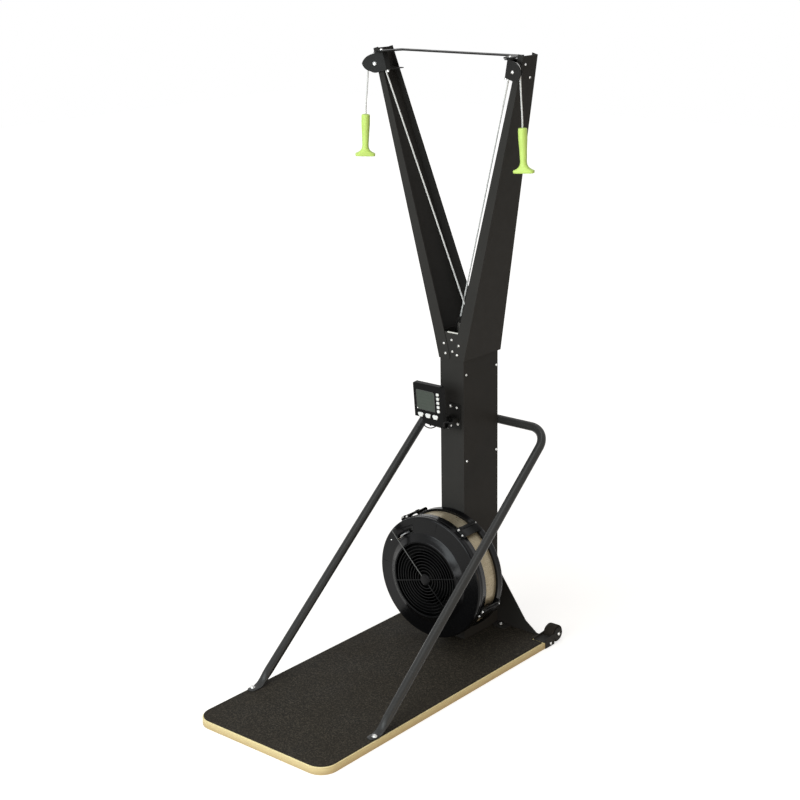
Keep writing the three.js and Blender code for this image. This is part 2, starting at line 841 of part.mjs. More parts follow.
// The free stretch from the outer side of the pulley to the handle; it leans out a little
// before it hangs straight, as stiff cord does. Shares are of the way out, forwards and down.
const freeCordShares = [
  [0, 0, 0],
  [0.02, 0.02, 0.08],
  [0.12, 0.12, 0.22],
  [0.3, 0.3, 0.38],
  [0.5, 0.5, 0.53],
  [0.7, 0.7, 0.68],
  [0.88, 0.88, 0.84],
  [1, 1, 1],
];

function freeCordStations() {
  const start = fromAxle(topPitchRadius, 0, -contactGap);
  const end = new THREE.Vector3(handleHalf, handleY, handleTopZ + contactGap);
  return freeCordShares.map(
    ([out, forward, down]) =>
      new THREE.Vector3(mix(start.x, end.x, out), mix(start.y, end.y, forward),
        mix(start.z, end.z, down)),
  );
}

// Handle: each row is the way down from the top, the half widths, and how square the section
// is: at one it is an ellipse, and the smaller the number, the nearer it is to a rectangle.
const flareWidth = (share) => mix(handleWaistRadius, handleFootHalf, share);
const flareDepth = (share) => mix(handleWaistRadius, handleFootDepth, share);
const flareDown = (share) =>
  mix(handleLength - handleFlare, handleLength - handleFootPlate, share);
const handleRows = [
  [0, handleGripRadius * 0.8, handleGripRadius * 0.8, 1],
  [handleLength * 0.03, handleGripRadius, handleGripRadius, 1],
  [handleLength * 0.2, handleGripRadius, handleGripRadius, 1],
  [handleLength * 0.5, mix(handleWaistRadius, handleGripRadius, 0.35), handleWaistRadius, 1],
  [flareDown(0), handleWaistRadius, handleWaistRadius, 1],
  [flareDown(0.48), flareWidth(0.24), flareDepth(0.45), 0.8],
  [flareDown(0.74), flareWidth(0.5), flareDepth(0.72), 0.62],
  [flareDown(0.92), flareWidth(0.82), flareDepth(0.92), 0.5],
  [flareDown(1), handleFootHalf, handleFootDepth, 0.45],
  [handleLength * 0.99, handleFootHalf, handleFootDepth, 0.45],
  [handleLength, handleFootHalf * 0.96, handleFootDepth * 0.92, 0.45],
];
const squared = (value, power) => Math.sign(value) * Math.abs(value) ** power;

function handleBody(turn) {
  const ringOf = ([down, halfWidth, halfDepth, power]) =>
    Array.from({ length: wheelSides }, (_, i) => {
      const angle = (2 * Math.PI * i) / wheelSides;
      return new THREE.Vector3(halfWidth * squared(Math.cos(angle), power),
        halfDepth * squared(Math.sin(angle), power), -down);
    });
  const body = loft([...handleRows].reverse().map(ringOf));
  return body.rotateZ(turn).rotateY(-handleLean).translate(handleHalf, handleY, handleTopZ);
}

// Brace: a flat bar across, with both ends turned forwards onto the brackets
function crossBrace() {
  const half = braceWidth / 2;
  const z0 = axleZ + earTop + bracketSheet + contactGap;
  const outline = polygon([
    [-braceEndHalf - half, braceEndY],
    [-braceEndHalf + half, braceEndY],
    [-braceHalfSpan + half, braceY - half],
    [braceHalfSpan - half, braceY - half],
    [braceEndHalf - half, braceEndY],
    [braceEndHalf + half, braceEndY],
    [braceHalfSpan + half, braceY + half],
    [-braceHalfSpan - half, braceY + half],
  ]);
  return levelPlate(outline, z0, z0 + braceThickness);
}

// Guide pulleys and their bracket
const guidePairFrontY = guideMiddleY - guideSpacing / 2 - guideWidth / 2 - pulleySideGap;
const guidePairRearY = guideMiddleY + guideSpacing / 2 + guideWidth / 2 + pulleySideGap;
const guideTopZ = guideZ + axleHeadRadius * 1.5;

function guideBracket() {
  const cheekPlate = (y0) =>
    boxBetween(-guideHalf, guideHalf, y0, y0 + guideSheet, guideFootZ, guideTopZ);
  const base = boxBetween(-guideBaseHalf, guideHalf, columnInnerFrontY + contactGap,
    guidePairRearY + guideSheet / 2, guideFootZ, guideFootZ + guideSheet);
  const cordPass = boxBetween(-guidePitchRadius - cordDiameter / 2, -guideHalf + cordDiameter / 2,
    guideYFor(1) - cordDiameter, guideYFor(1) + cordDiameter, guideFootZ - cutOverrun,
    guideFootZ + cutOverrun);
  const face = boxBetween(-guideHalf, guideHalf, columnInnerFrontY + contactGap,
    columnInnerFrontY + contactGap + guideSheet, guideFootZ, columnTopZ - armFootCornerRadius);
  const body = join(face, base, cheekPlate(guidePairFrontY - guideSheet), cheekPlate(guidePairRearY));
  const bore = barAlongY(guideAxleRadius + contactGap, 0, guideZ,
    guidePairFrontY - guideSheet - cutOverrun, guidePairRearY + guideSheet + cutOverrun);
  return cut(body, bore, cordPass);
}

function guideAxle() {
  const front = guidePairFrontY - guideSheet - contactGap;
  const shank = barAlongY(guideAxleRadius, 0, guideZ, front - axleHeadHeight / 2,
    guidePairRearY + guideSheet + axleHeadHeight);
  const head = barAlongY(axleHeadRadius, 0, guideZ, front - axleHeadHeight, front);
  return join(shank, head);
}

// Straight return cord from the guide bracket down to its drum.
function returnCordStations(side) {
  const y = guideYFor(side);
  const top = new THREE.Vector3(returnCordTopX, y, guideFootZ - contactGap);
  const bottom = new THREE.Vector3(-drumPitchRadius, y, fanZ);
  return [top, ...between(top, bottom, straightRuns), bottom];
}

// Drive parts on the shaft
const shaftBore = shaftRadius + turningGap;
const drumWidth = guideWidth;
const frontBearingY = columnFrontY - fanWall - contactGap;
const carrierY = guidePairRearY + carrierSideGap;

function frontBearing() {
  const bore = shaftBore;
  const flangeY = columnInnerFrontY + contactGap;
  return turned(
    [
      [bore, frontBearingY],
      [bearingRadius, frontBearingY],
      [bearingRadius, flangeY],
      [bearingFlangeRadius, flangeY],
      [bearingFlangeRadius, flangeY + bearingFlange],
      [bearingRadius, flangeY + bearingFlange],
      [bearingRadius, frontBearingY + bearingLength],
      [bore, frontBearingY + bearingLength],
    ],
    wheelSides,
  );
}

function rearCarrier() {
  const half = columnInnerHalf - contactGap;
  const block = boxBetween(-half, half, carrierY, carrierY + carrierThickness,
    fanZ - carrierHeight / 2, fanZ + carrierHeight / 2);
  const hole = barAlongY(shaftBore, 0, fanZ, carrierY - cutOverrun,
    carrierY + carrierThickness + cutOverrun, smallSides);
  return cut(block, hole);
}

function fanShaft() {
  return barAlongY(shaftRadius, 0, fanZ, shaftFrontY, carrierY + carrierThickness + carrierSideGap,
    smallSides);
}

// Fan housing: profiles are [radius, y] about the fan's own axis
const lipInner = bandRadius + contactGap;
const atFan = (geometry) => geometry.translate(0, 0, fanZ);
const fanAcross = new THREE.Vector3(1, 0, 0);

function fanFrontShroud() {
  const hole = grilleRadius + contactGap;
  const shroud = turned(
    [
      [fanRadius, fanFrontBackY],
      [fanRadius, fanFrontRimY + fanRimRound],
      [fanRadius - fanRimRound * 0.3, fanFrontRimY + fanRimRound * 0.3],
      [fanRadius - fanRimRound, fanFrontRimY],
      [fanRingRadius, fanRingY],
      [hole + grilleBar, grilleY],
      [hole, grilleY],
      [hole, grilleY + grilleDepth],
      [fanRingRadius, fanRingY + fanWall * 1.3],
      [fanRadius - fanRimRound, fanFrontRimY + fanWall],
      [fanRadius - fanWall, fanFrontRimY + fanRimRound],
      [fanRadius - fanWall, fanFrontBackY - bandLip],
      [lipInner, fanFrontBackY - bandLip],
      [lipInner, fanFrontBackY],
    ],
    fanSides,
  );
  return atFan(cut(join(shroud, coneRib()), leverSlot()));
}

// The raised rib that carries one spoke on over the cone to the rim.
function coneRib() {
  const half = spokeWidth / 2;
  const ring = (radius, y) => [
    new THREE.Vector3(radius, y + fanWall / 2, -half),
    new THREE.Vector3(radius, y + fanWall / 2, half),
    new THREE.Vector3(radius, y - ribHeight, half),
    new THREE.Vector3(radius, y - ribHeight, -half),
  ];
  const slopeEnd = mix(fanRingY, fanFrontRimY,
    (ribReach - fanRingRadius) / (fanRadius - fanRimRound - fanRingRadius));
  const rib = loft([
    ring(grilleRadius + grilleBar, grilleY + fanWall / 2),
    ring(fanRingRadius, fanRingY),
    ring(ribReach, slopeEnd),
  ]);
  return rib.rotateY(-ribAngle);
}

// A curved slot through the ring of the shroud, for the damper's lever.
function leverSlot() {
  return curvedBar(leverRadius, slotWidth, leverAngle, slotHalfAngle,
    fanRingY - cutOverrun, fanFrontRimY + cutOverrun);
}

// A curved bar about the fan's axis, from y0 to y1.
function curvedBar(radius, width, angle, halfAngle, y0, y1) {
  const shape = new THREE.Shape();
  shape.absarc(0, 0, radius + width / 2, angle - halfAngle, angle + halfAngle);
  shape.absarc(0, 0, radius - width / 2, angle + halfAngle, angle - halfAngle, true);
  return plateAcross(shape, y0, y1);
}

// A flat ring about the fan's axis.
function flatRing(inner, outer, y0, y1, count = ringSides) {
  return turned([[inner, y0], [outer, y0], [outer, y1], [inner, y1]], count);
}

function fanGrille() {
  const back = grilleY + grilleDepth;
  const hub = barAlongY(grilleHubRadius, 0, 0, grilleY - grilleBar / 2, back, wheelSides);
  const rim = flatRing(grilleRadius - grilleBar, grilleRadius, grilleY, back, fanSides);
  const pitch = (grilleRadius - grilleBar - grilleHubRadius) / (grilleRings + 1);
  const rings = Array.from({ length: grilleRings }, (_, i) => {
    const middle = grilleHubRadius + pitch * (i + 1);
    return flatRing(middle - grilleBar / 2, middle + grilleBar / 2, grilleY + grilleBar / 2, back);
  });
  const spokes = spokeAngles.map((angle) =>
    boxBetween(grilleHubRadius / 2, grilleRadius - grilleBar / 2, grilleY + grilleBar / 4,
      back - grilleBar / 4, -spokeWidth / 2, spokeWidth / 2).rotateY(-angle),
  );
  return atFan(join(hub, rim, ...rings, ...spokes));
}

function fanBand() {
  return atFan(flatRing(bandRadius - bandThickness, bandRadius, fanFrontBackY - bandLip,
    rearShroudFrontY + bandLip, fanSides));
}

function fanRearShroud() {
  const back = columnFrontY - contactGap;
  const hole = bearingRadius + contactGap;
  return atFan(turned(
    [
      [fanRadius, rearShroudFrontY],
      [fanRadius, back - fanRimRound],
      [fanRadius - fanRimRound * 0.3, back - fanRimRound * 0.3],
      [fanRadius - fanRimRound, back],
      [hole, back],
      [hole, back - fanWall],
      [fanRadius - fanRimRound, back - fanWall],
      [fanRadius - fanWall, back - fanRimRound],
      [fanRadius - fanWall, rearShroudFrontY + bandLip],
      [lipInner, rearShroudFrontY + bandLip],
      [lipInner, rearShroudFrontY],
    ],
    fanSides,
  ));
}

// A clamp that bridges the two shrouds over the band.
function fanClamp(angle) {
  const inner = fanRadius + contactGap;
  const outer = inner + clampThickness;
  const half = clampWidth / 2;
  const body = boxBetween(inner, outer, clampFrontY, clampRearY, -half, half);
  const window = boxBetween(inner - cutOverrun, inner + clampThickness / 2,
    fanFrontBackY, rearShroudFrontY, -half - cutOverrun, half + cutOverrun);
  const screw = barAlongY(clampScrewRadius, outer, half / 2, clampFrontY - clampScrewRadius,
    clampRearY - clampScrewRadius);
  return atFan(join(cut(body, window), screw).rotateY(-angle));
}

function damperRing() {
  const ring = flatRing(damperInnerRadius, damperOuterRadius, damperY, damperY + damperThickness,
    fanSides);
  const arm = boxBetween(damperOuterRadius - damperThickness, leverRadius + leverWidth / 2,
    damperY, damperY + damperThickness, -leverWidth, leverWidth).rotateY(-leverAngle);
  const lever = curvedBar(leverRadius, leverWidth, leverAngle, leverHalfAngle,
    fanRingY - leverProud, damperY + damperThickness / 2);
  return atFan(join(ring, arm, lever));
}

function fanWheel() {
  const discBack = fanDiscY + fanDiscThickness;
  const hub = flatRing(shaftBore, fanHubRadius, fanHubFrontY, discBack + fanDiscThickness, wheelSides);
  const disc = flatRing(fanHubRadius - fanDiscThickness, wheelFanRadius, fanDiscY, discBack, fanSides);
  const blades = Array.from({ length: bladeCount }, (_, i) =>
    boxBetween(bladeInnerRadius, wheelFanRadius - bladeThickness, fanHubFrontY,
      fanDiscY + fanDiscThickness / 2, -bladeThickness / 2, bladeThickness / 2)
      .rotateY((2 * Math.PI * i) / bladeCount),
  );
  return atFan(join(hub, disc, ...blades));
}

// Support tube, from one foot behind the column to the other foot
const tubeCrossY = columnRearY + contactGap + tubeRadius + saddleWall / 3;
const tubeFoot = (side) => new THREE.Vector3(side * tubeFootHalf, tubeFootY, deckTop);
const tubeCorner = (side) => new THREE.Vector3(side * tubeBendHalf, tubeCrossY, tubeCrossZ);

function tubeStations() {
  const foot = tubeFoot(1);
  const corner = tubeCorner(1);
  const down = foot.clone().sub(corner).normalize();
  const inwards = new THREE.Vector3(-1, 0, 0);
  const turnHalf = Math.acos(down.dot(inwards)) / 2;
  const setBack = tubeBendRadius / Math.tan(turnHalf);
  const bisector = down.clone().add(inwards).normalize();
  const centre = corner.clone().addScaledVector(bisector, tubeBendRadius / Math.sin(turnHalf));
  const first = corner.clone().addScaledVector(down, setBack);
  const last = corner.clone().addScaledVector(inwards, setBack);
  const fromCentre = first.clone().sub(centre).normalize();
  const toCentre = last.clone().sub(centre).normalize();
  const turnAngle = fromCentre.angleTo(toCentre);
  const steps = Math.ceil(bend(0, turnAngle) * tubeStepShare);
  const sweep = Array.from({ length: steps + 1 }, (_, i) => {
    const part = i / steps;
    const a = Math.sin((1 - part) * turnAngle) / Math.sin(turnAngle);
    const b = Math.sin(part * turnAngle) / Math.sin(turnAngle);
    const ray = fromCentre.clone().multiplyScalar(a).addScaledVector(toCentre, b);
    return centre.clone().addScaledVector(ray, tubeBendRadius);
  });
  const start = foot.clone().addScaledVector(down, tubeRadius * 2);
  const rightHalf = [start, ...between(start, sweep[0], 2), ...sweep];
  const leftHalf = rightHalf.map((p) => new THREE.Vector3(-p.x, p.y, p.z)).reverse();
  return [...rightHalf, ...leftHalf];
}

function supportTube() {
  const stations = tubeStations();
  const bar = barThrough(stations, tubeRadius, tubeSides);
  const bore = barThrough(stations, tubeRadius - tubeWall, tubeSides);
  const below = boxBetween(-deckWidth, deckWidth, -deckWidth, deckLength, -deckWidth, deckTop);
  const tongue = (side) => {
    const x0 = side * tubeFootHalf - tongueWidth / 2;
    const y0 = tubeFootY - tongueLength * 0.65;
    const outline = roundedRectangle(x0, x0 + tongueWidth, y0, y0 + tongueLength, tongueWidth / 3,
      tongueThickness);
    return levelPlate(outline, deckTop, deckTop + tongueThickness, 4);
  };
  return cut(join(cut(bar, below), tongue(1), tongue(-1)), bore);
}

// Saddle that holds the tube against the back of the column.
function supportSaddle() {
  const y0 = columnRearY + contactGap;
  const y1 = tubeCrossY + tubeRadius + saddleWall;
  const half = saddleWidth / 2;
  const z0 = tubeCrossZ - saddleHeight / 2;
  const body = boxBetween(-half, half, y0, y1, z0, z0 + saddleHeight);
  const hole = barAlongX(tubeRadius + contactGap, tubeCrossY, tubeCrossZ, -half - cutOverrun,
    half + cutOverrun, wheelSides);
  return cut(body, hole);
}

// Transport wheel and its bracket on the right rear corner
const transportZ = transportRadius + transportLift;
const wheelOuterX = deckWidth / 2 + contactGap;
function wheelInnerX() {
  return deckWidth / 2 + contactGap - transportWidth - 2 * wheelSideGap;
}

function transportWheel() {
  const round = transportRadius * 0.12;
  const half = transportWidth / 2;
  const middle = (wheelOuterX + wheelInnerX()) / 2;
  const body = turned(
    [
      [transportPinRadius + turningGap, -half],
      [transportRadius - round, -half],
      [transportRadius, round - half],
      [transportRadius, half - round],
      [transportRadius - round, half],
      [transportPinRadius + turningGap, half],
    ],
    wheelSides,
  );
  return body.rotateZ(-Math.PI / 2).translate(middle, transportAxleY, transportZ);
}

function wheelBracket() {
  const plateZ = boardThickness + contactGap;
  const inner = wheelInnerX();
  const ear = (lowFrontY, lowZ) => {
    const shape = new THREE.Shape();
    shape.moveTo(lowFrontY, lowZ);
    shape.lineTo(transportAxleY - wheelEarRadius, Math.min(lowZ, transportZ - wheelEarRadius / 2));
    shape.absarc(transportAxleY, transportZ, wheelEarRadius, Math.PI * 1.1, Math.PI * 2.9);
    shape.lineTo(lowFrontY, plateZ + wheelPlate + wheelUpstand);
    return shape;
  };
  const sideTab = plateAlong(ear(sideTabFrontY, transportLift), wheelOuterX,
    wheelOuterX + wheelPlate);
  const innerEar = plateAlong(ear(wheelPlateFrontY, plateZ), inner - wheelPlate, inner);
  const behindDeck = boxBetween(inner - wheelPlate - cutOverrun, inner + cutOverrun,
    wheelPlateFrontY - cutOverrun, deckLength + contactGap, -cutOverrun, plateZ);
  const plate = boxBetween(inner - wheelPlate / 2, wheelOuterX + wheelPlate / 2, wheelPlateFrontY,
    deckLength, plateZ, plateZ + wheelPlate);
  const pin = barAlongX(transportPinRadius, transportAxleY, transportZ, inner - wheelPlate * 1.5,
    wheelOuterX + wheelPlate * 1.5);
  return join(sideTab, cut(innerEar, behindDeck), plate, pin);
}

// Monitor: places on its face
const faceX = (offset) => caseCentreX + offset;
const sideButtonPlace = (i) => [faceX(sideButtonOffsetX), sideButtonTopZ - sideButtonPitch * i];
const menuButtonPlace = (i) => [
  faceX(menuButtonOffsetX) + menuButtonPitch * (i - (menuButtonCount - 1) / 2),
  menuButtonZ,
];
const caseBackY = caseFrontY + caseDepth;

// A button or its pocket: grow widens it all round.
function keyBlock(place, width, height, y0, y1, grow) {
  const [x, z] = place;
  const radius = height * 0.3;
  const outline = roundedRectangle(x - width / 2 - grow, x + width / 2 + grow,
    z - height / 2 - grow, z + height / 2 + grow, radius);
  return plateAcross(outline, y0, y1, 1);
}

const sideKeys = Array.from({ length: sideButtonCount }, (_, i) => ({
  name: `side_button_${i + 1}`,
  place: sideButtonPlace(i),
  width: sideButtonWidth,
  height: sideButtonHeight,
}));
const menuKeys = Array.from({ length: menuButtonCount }, (_, i) => ({
  name: `menu_button_${i + 1}`,
  place: menuButtonPlace(i),
  width: menuButtonWidth,
  height: menuButtonHeight,
}));
const keys = [...sideKeys, ...menuKeys];

function screenBlock(y0, y1, grow) {
  const x = faceX(screenOffsetX);
  return boxBetween(x - screenWidth / 2 - grow, x + screenWidth / 2 + grow, y0, y1,
    screenCentreZ - screenHeight / 2 - grow, screenCentreZ + screenHeight / 2 + grow);
}

function caseOutline() {
  const x0 = caseCentreX - caseWidth / 2;
  const x1 = caseCentreX + caseWidth / 2;
  const shape = new THREE.Shape();
  const chinX = x0 + chinStart + chinRun;
  const chinAt = (share) => caseBottomZ - caseChin * share;
  shape.moveTo(x0, caseBottomZ);
  shape.lineTo(x0 + chinStart, caseBottomZ);
  shape.lineTo(chinX, chinAt(0.7));
  shape.quadraticCurveTo(chinX + chinRun / 2, chinAt(0.86), chinX + chinStart, chinAt(0.93));
  shape.lineTo(x1 - chinEnd, chinAt(1));
  shape.quadraticCurveTo(x1 - chinEnd / 2, chinAt(0.98), x1 - chinEnd / 3, chinAt(0.5));
  shape.lineTo(x1, chinAt(0.1));
  shape.lineTo(x1, caseTopZ - caseCorner);
  shape.absarc(x1 - caseCorner, caseTopZ - caseCorner, caseCorner, 0, Math.PI / 2);
  shape.lineTo(x0 + caseCorner, caseTopZ);
  shape.absarc(x0 + caseCorner, caseTopZ - caseCorner, caseCorner, Math.PI / 2, Math.PI);
  return shape;
}

// Leans a part of the head forwards about the tilt hinge.
function leanHead(geometry) {
  return geometry.translate(0, -tiltY, -tiltZ).rotateX(headLean).translate(0, tiltY, tiltZ);
}

// A lug with a pin hole about an X axis, reaching from a back wall to the pin.
function hingeLug(x0, wallY, pinY, pinZ) {
  const bar = boxBetween(x0, x0 + lugThickness, Math.min(wallY, pinY), Math.max(wallY, pinY),
    pinZ - lugRadius, pinZ + lugRadius);
  const eye = barAlongX(lugRadius, pinY, pinZ, x0, x0 + lugThickness, wheelSides / 2);
  const hole = barAlongX(hingePinRadius + turningGap, pinY, pinZ, x0 - cutOverrun,
    x0 + lugThickness + cutOverrun);
  return cut(join(bar, eye), hole);
}

const tiltHalf = tiltBarrelLength / 2;
const liftHalf = liftBarrelLength / 2;

function monitorCase() {
  const shell = plateAcross(caseOutline(), caseFrontY, caseBackY, 8);
  const pocketEnd = caseFrontY + buttonSunk + buttonTravelRoom;
  const pockets = keys.map(({ place, width, height }) =>
    keyBlock(place, width, height, caseFrontY - cutOverrun, pocketEnd, buttonGap),
  );
  const recess = screenBlock(caseFrontY - cutOverrun, caseFrontY + screenDepth + contactGap,
    contactGap);
  const left = monitorMountX - tiltHalf - lugGap - lugThickness;
  const right = monitorMountX + tiltHalf + lugGap;
  const shelfZ = caseBottomZ - caseChin + lugRadius;
  const lugPost = (x0) =>
    boxBetween(x0, x0 + lugThickness, caseBackY - lugThickness, caseBackY + lugThickness,
      tiltZ - lugRadius, shelfZ + lugRadius);
  return cut(
    join(
      shell,
      lugPost(left),
      lugPost(right),
      hingeLug(left, caseBackY, tiltY, tiltZ),
      hingeLug(right, caseBackY, tiltY, tiltZ),
    ),
    recess,
    ...pockets,
  );
}

function monitorArm() {
  const barHalf = liftHalf - lugThickness;
  const tiltBarrel = barAlongX(tiltBarrelRadius, tiltY, tiltZ, monitorMountX - tiltHalf,
    monitorMountX + tiltHalf, wheelSides / 2);
  const pinOver = lugGap + lugThickness;
  const tiltPin = barAlongX(hingePinRadius, tiltY, tiltZ, monitorMountX - tiltHalf - pinOver,
    monitorMountX + tiltHalf + pinOver);
  const liftBarrel = barAlongX(tiltBarrelRadius, liftY, liftZ, monitorMountX - liftHalf,
    monitorMountX + liftHalf, wheelSides / 2);
  const liftPin = barAlongX(hingePinRadius, liftY, liftZ, monitorMountX - liftHalf - pinOver,
    monitorMountX + liftHalf + pinOver);
  const barRing = (y, z) => [
    new THREE.Vector3(monitorMountX - barHalf, y, z - armBarThickness / 2),
    new THREE.Vector3(monitorMountX - barHalf, y, z + armBarThickness / 2),
    new THREE.Vector3(monitorMountX + barHalf, y, z + armBarThickness / 2),
    new THREE.Vector3(monitorMountX + barHalf, y, z - armBarThickness / 2),
  ];
  const bar = loft([barRing(tiltY, tiltZ), barRing(liftY, liftZ)]);
  const knobX = monitorMountX + tiltHalf + pinOver + knobGap;
  const knob = barAlongX(knobRadius, tiltY, tiltZ, knobX, knobX + knobLength, wheelSides);
  const knobStem = barAlongX(hingePinRadius, tiltY, tiltZ, knobX - 2 * knobGap,
    knobX + knobLength / 2);
  return join(tiltBarrel, tiltPin, liftBarrel, liftPin, bar, knob, knobStem);
}

function monitorMount() {
  const wallY = columnFrontY - contactGap - mountPlateSheet;
  const outline = roundedRectangle(monitorMountX - mountPlateWidth / 2,
    monitorMountX + mountPlateWidth / 2, mountPlateZ - mountPlateHeight / 2,
    mountPlateZ + mountPlateHeight / 2, caseCorner);
  const plate = plateAcross(outline, wallY, wallY + mountPlateSheet);
  const left = monitorMountX - liftHalf - lugGap - lugThickness;
  const right = monitorMountX + liftHalf + lugGap;
  const wall = wallY + mountPlateSheet / 2;
  return join(plate, hingeLug(left, wall, liftY, liftZ), hingeLug(right, wall, liftY, liftZ));
}

// Cable loop under the monitor, from the case to the arm: points set by hand, counted from the
// middle of the tilt hinge.
const cablePoints = [
  [-51.4, -28, 10.4],
  [-54, -28, 9],
  [-57.4, -28, 5.4],
  [-58.8, -28, 0],
  [-57.6, -27.8, -5.5],
  [-53, -27.4, -10.6],
  [-45, -27, -14.2],
  [-35, -26.4, -15.6],
  [-25, -24.6, -14.6],
  [-17, -21.6, -11.6],
  [-10, -17.4, -7.2],
  [-6, -13.4, -3.2],
  [-4, -9.8, 0],
].map(([x, y, z]) => new THREE.Vector3(monitorMountX + x, tiltY + y, tiltZ + z));

// Parts of the frame
addPart('deck_board', deckBoard(), birchPly);
addPart('deck_mat', deckMat(), rubberMat);
addPart('column_shell', columnShell(), blackPaint);
addPart('column_back_cover', columnBackCover(), blackPaint);
addPart('rear_plate', rearPlate(), blackPaint);
addPart('cross_brace', crossBrace(), greyPaint);
addPart('support_tube', supportTube(), greyPaint);
addPart('support_saddle', supportSaddle(), blackPaint);

// Parts that come in a left and a right one
for (const [side, group] of sides) {
  addPart(`${side}_arm`, armBody(), blackPaint, group);
  addPart(`${side}_pulley_bracket`, pulleyBracket(), blackPaint, group);
  addPart(`${side}_pulley_axle`, pulleyAxle(), brightSteel, group);
  const bore = axleRadius + turningGap;
  const pulley = atAxle(groovedPulley(topPitchRadius, topPulleyWidth, bore));
  addPart(`${side}_top_pulley`, pulley, darkPlastic, group);
  addPart(`${side}_handle`, handleBody(handleTurns[side]), limePlastic, group);
  const freeCord = barThrough(freeCordStations(), cordDiameter / 2, cordSides);
  addPart(`${side}_hanging_cord`, freeCord, whiteCord, group);
  addPart(`${side}_transport_wheel`, transportWheel(), blackRubber, group);
  addPart(`${side}_wheel_bracket`, wheelBracket(), blackPaint, group);
}

// Cords, guide pulleys and drums, each side in a plane of its own
addPart('guide_bracket', guideBracket(), plainSteel);
addPart('guide_axle', guideAxle(), brightSteel);
for (const [side, , sign] of sides) {
  const y = guideYFor(sign);
  const held = barThrough(driveCordStations(sign), cordDiameter / 2, cordSides);
  addPart(`${side}_drive_cord`, held, whiteCord);
  const guide = groovedPulley(guidePitchRadius, guideWidth, guideAxleRadius + turningGap);
  addPart(`${side}_guide_pulley`, guide.translate(0, y, guideZ), darkPlastic);
  const drum = groovedPulley(drumPitchRadius, drumWidth, shaftBore, returnCordDiameter / 2);
  addPart(`${side}_drive_drum`, drum.translate(0, y, fanZ), plainSteel);
  const back = barThrough(returnCordStations(sign), returnCordDiameter / 2, cordSides);
  addPart(`${side}_return_cord`, back, blackRubber);
}

// Fan
addPart('fan_front_shroud', fanFrontShroud(), darkPlastic);
addPart('fan_grille', fanGrille(), darkPlastic);
addPart('fan_band', fanBand(), bandMetal);
addPart('fan_rear_shroud', fanRearShroud(), darkPlastic);
clampAngles.forEach((angle, i) => {
  addPart(`fan_clamp_${i + 1}`, fanClamp(angle), plainSteel);
});
addPart('fan_damper', damperRing(), darkPlastic);
addPart('fan_wheel', fanWheel(), darkPlastic);
addPart('fan_shaft', fanShaft(), brightSteel);
addPart('front_bearing', atFan(frontBearing()), plainSteel);
addPart('rear_bearing_carrier', rearCarrier(), plainSteel);

// Monitor
addPart('monitor_mount', monitorMount(), blackPaint);
addPart('monitor_arm', monitorArm(), blackPaint);
addPart('monitor_case', leanHead(monitorCase()), darkPlastic);
const screen = screenBlock(caseFrontY, caseFrontY + screenDepth, 0);
addPart('monitor_screen', leanHead(screen), liquidCrystal);
for (const { name, place, width, height } of keys) {
  const front = caseFrontY - buttonProud;
  const button = keyBlock(place, width, height, front, caseFrontY + buttonSunk, 0);
  addPart(name, leanHead(button), whitePlastic);
}
const cable = barThrough(cablePoints, cableDiameter / 2, cordSides);
addPart('monitor_cable', leanHead(cable), blackRubber);

// The whole machine, with its origin under the middle of its box
const overallDepth = transportAxleY + transportRadius;
machine.position.y = -overallDepth / 2;
const skiTrainer = new THREE.Group();
skiTrainer.add(machine);

export default skiTrainer;
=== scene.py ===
"""Looks of a floor-standing ski trainer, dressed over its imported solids.

Each sub-assembly is a class. Its fields are sizes in metres in the shared frame: X towards the
machine's right side, Y from front to back, Z up from the floor.
"""

from __future__ import annotations

import json
import logging
import math
from collections.abc import Sequence
from dataclasses import dataclass, field
from enum import Enum

import bmesh
import bpy
import numpy as np
from mathutils import Matrix, Vector

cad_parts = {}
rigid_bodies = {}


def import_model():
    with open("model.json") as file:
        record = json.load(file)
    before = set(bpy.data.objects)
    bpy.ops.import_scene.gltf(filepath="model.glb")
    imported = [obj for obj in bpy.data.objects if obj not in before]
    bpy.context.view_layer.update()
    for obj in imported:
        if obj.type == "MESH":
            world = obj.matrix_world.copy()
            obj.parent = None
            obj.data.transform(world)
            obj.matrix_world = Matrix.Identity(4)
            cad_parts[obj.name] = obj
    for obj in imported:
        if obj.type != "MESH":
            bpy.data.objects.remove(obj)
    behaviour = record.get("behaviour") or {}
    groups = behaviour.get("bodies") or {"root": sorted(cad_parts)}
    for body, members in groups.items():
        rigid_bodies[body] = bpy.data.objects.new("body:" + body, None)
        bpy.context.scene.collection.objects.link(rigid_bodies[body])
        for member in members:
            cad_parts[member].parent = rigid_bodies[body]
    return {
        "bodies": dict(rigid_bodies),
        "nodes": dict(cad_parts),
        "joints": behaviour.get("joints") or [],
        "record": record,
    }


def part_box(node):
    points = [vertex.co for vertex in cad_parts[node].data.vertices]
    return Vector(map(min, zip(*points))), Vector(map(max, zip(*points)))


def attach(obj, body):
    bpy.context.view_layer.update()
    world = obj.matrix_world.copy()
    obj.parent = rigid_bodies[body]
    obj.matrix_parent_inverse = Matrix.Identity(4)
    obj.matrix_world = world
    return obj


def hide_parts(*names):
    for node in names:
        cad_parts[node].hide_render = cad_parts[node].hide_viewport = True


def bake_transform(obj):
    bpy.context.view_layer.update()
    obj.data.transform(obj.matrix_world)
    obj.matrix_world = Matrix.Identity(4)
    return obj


log = logging.getLogger("ski_trainer")

# Short names of types
Pair = tuple[float, float]
Triple = tuple[float, float, float]
Colour = tuple[float, float, float, float]
Rows = Sequence[Sequence[float]]
Socket = bpy.types.NodeSocket
Material = bpy.types.Material

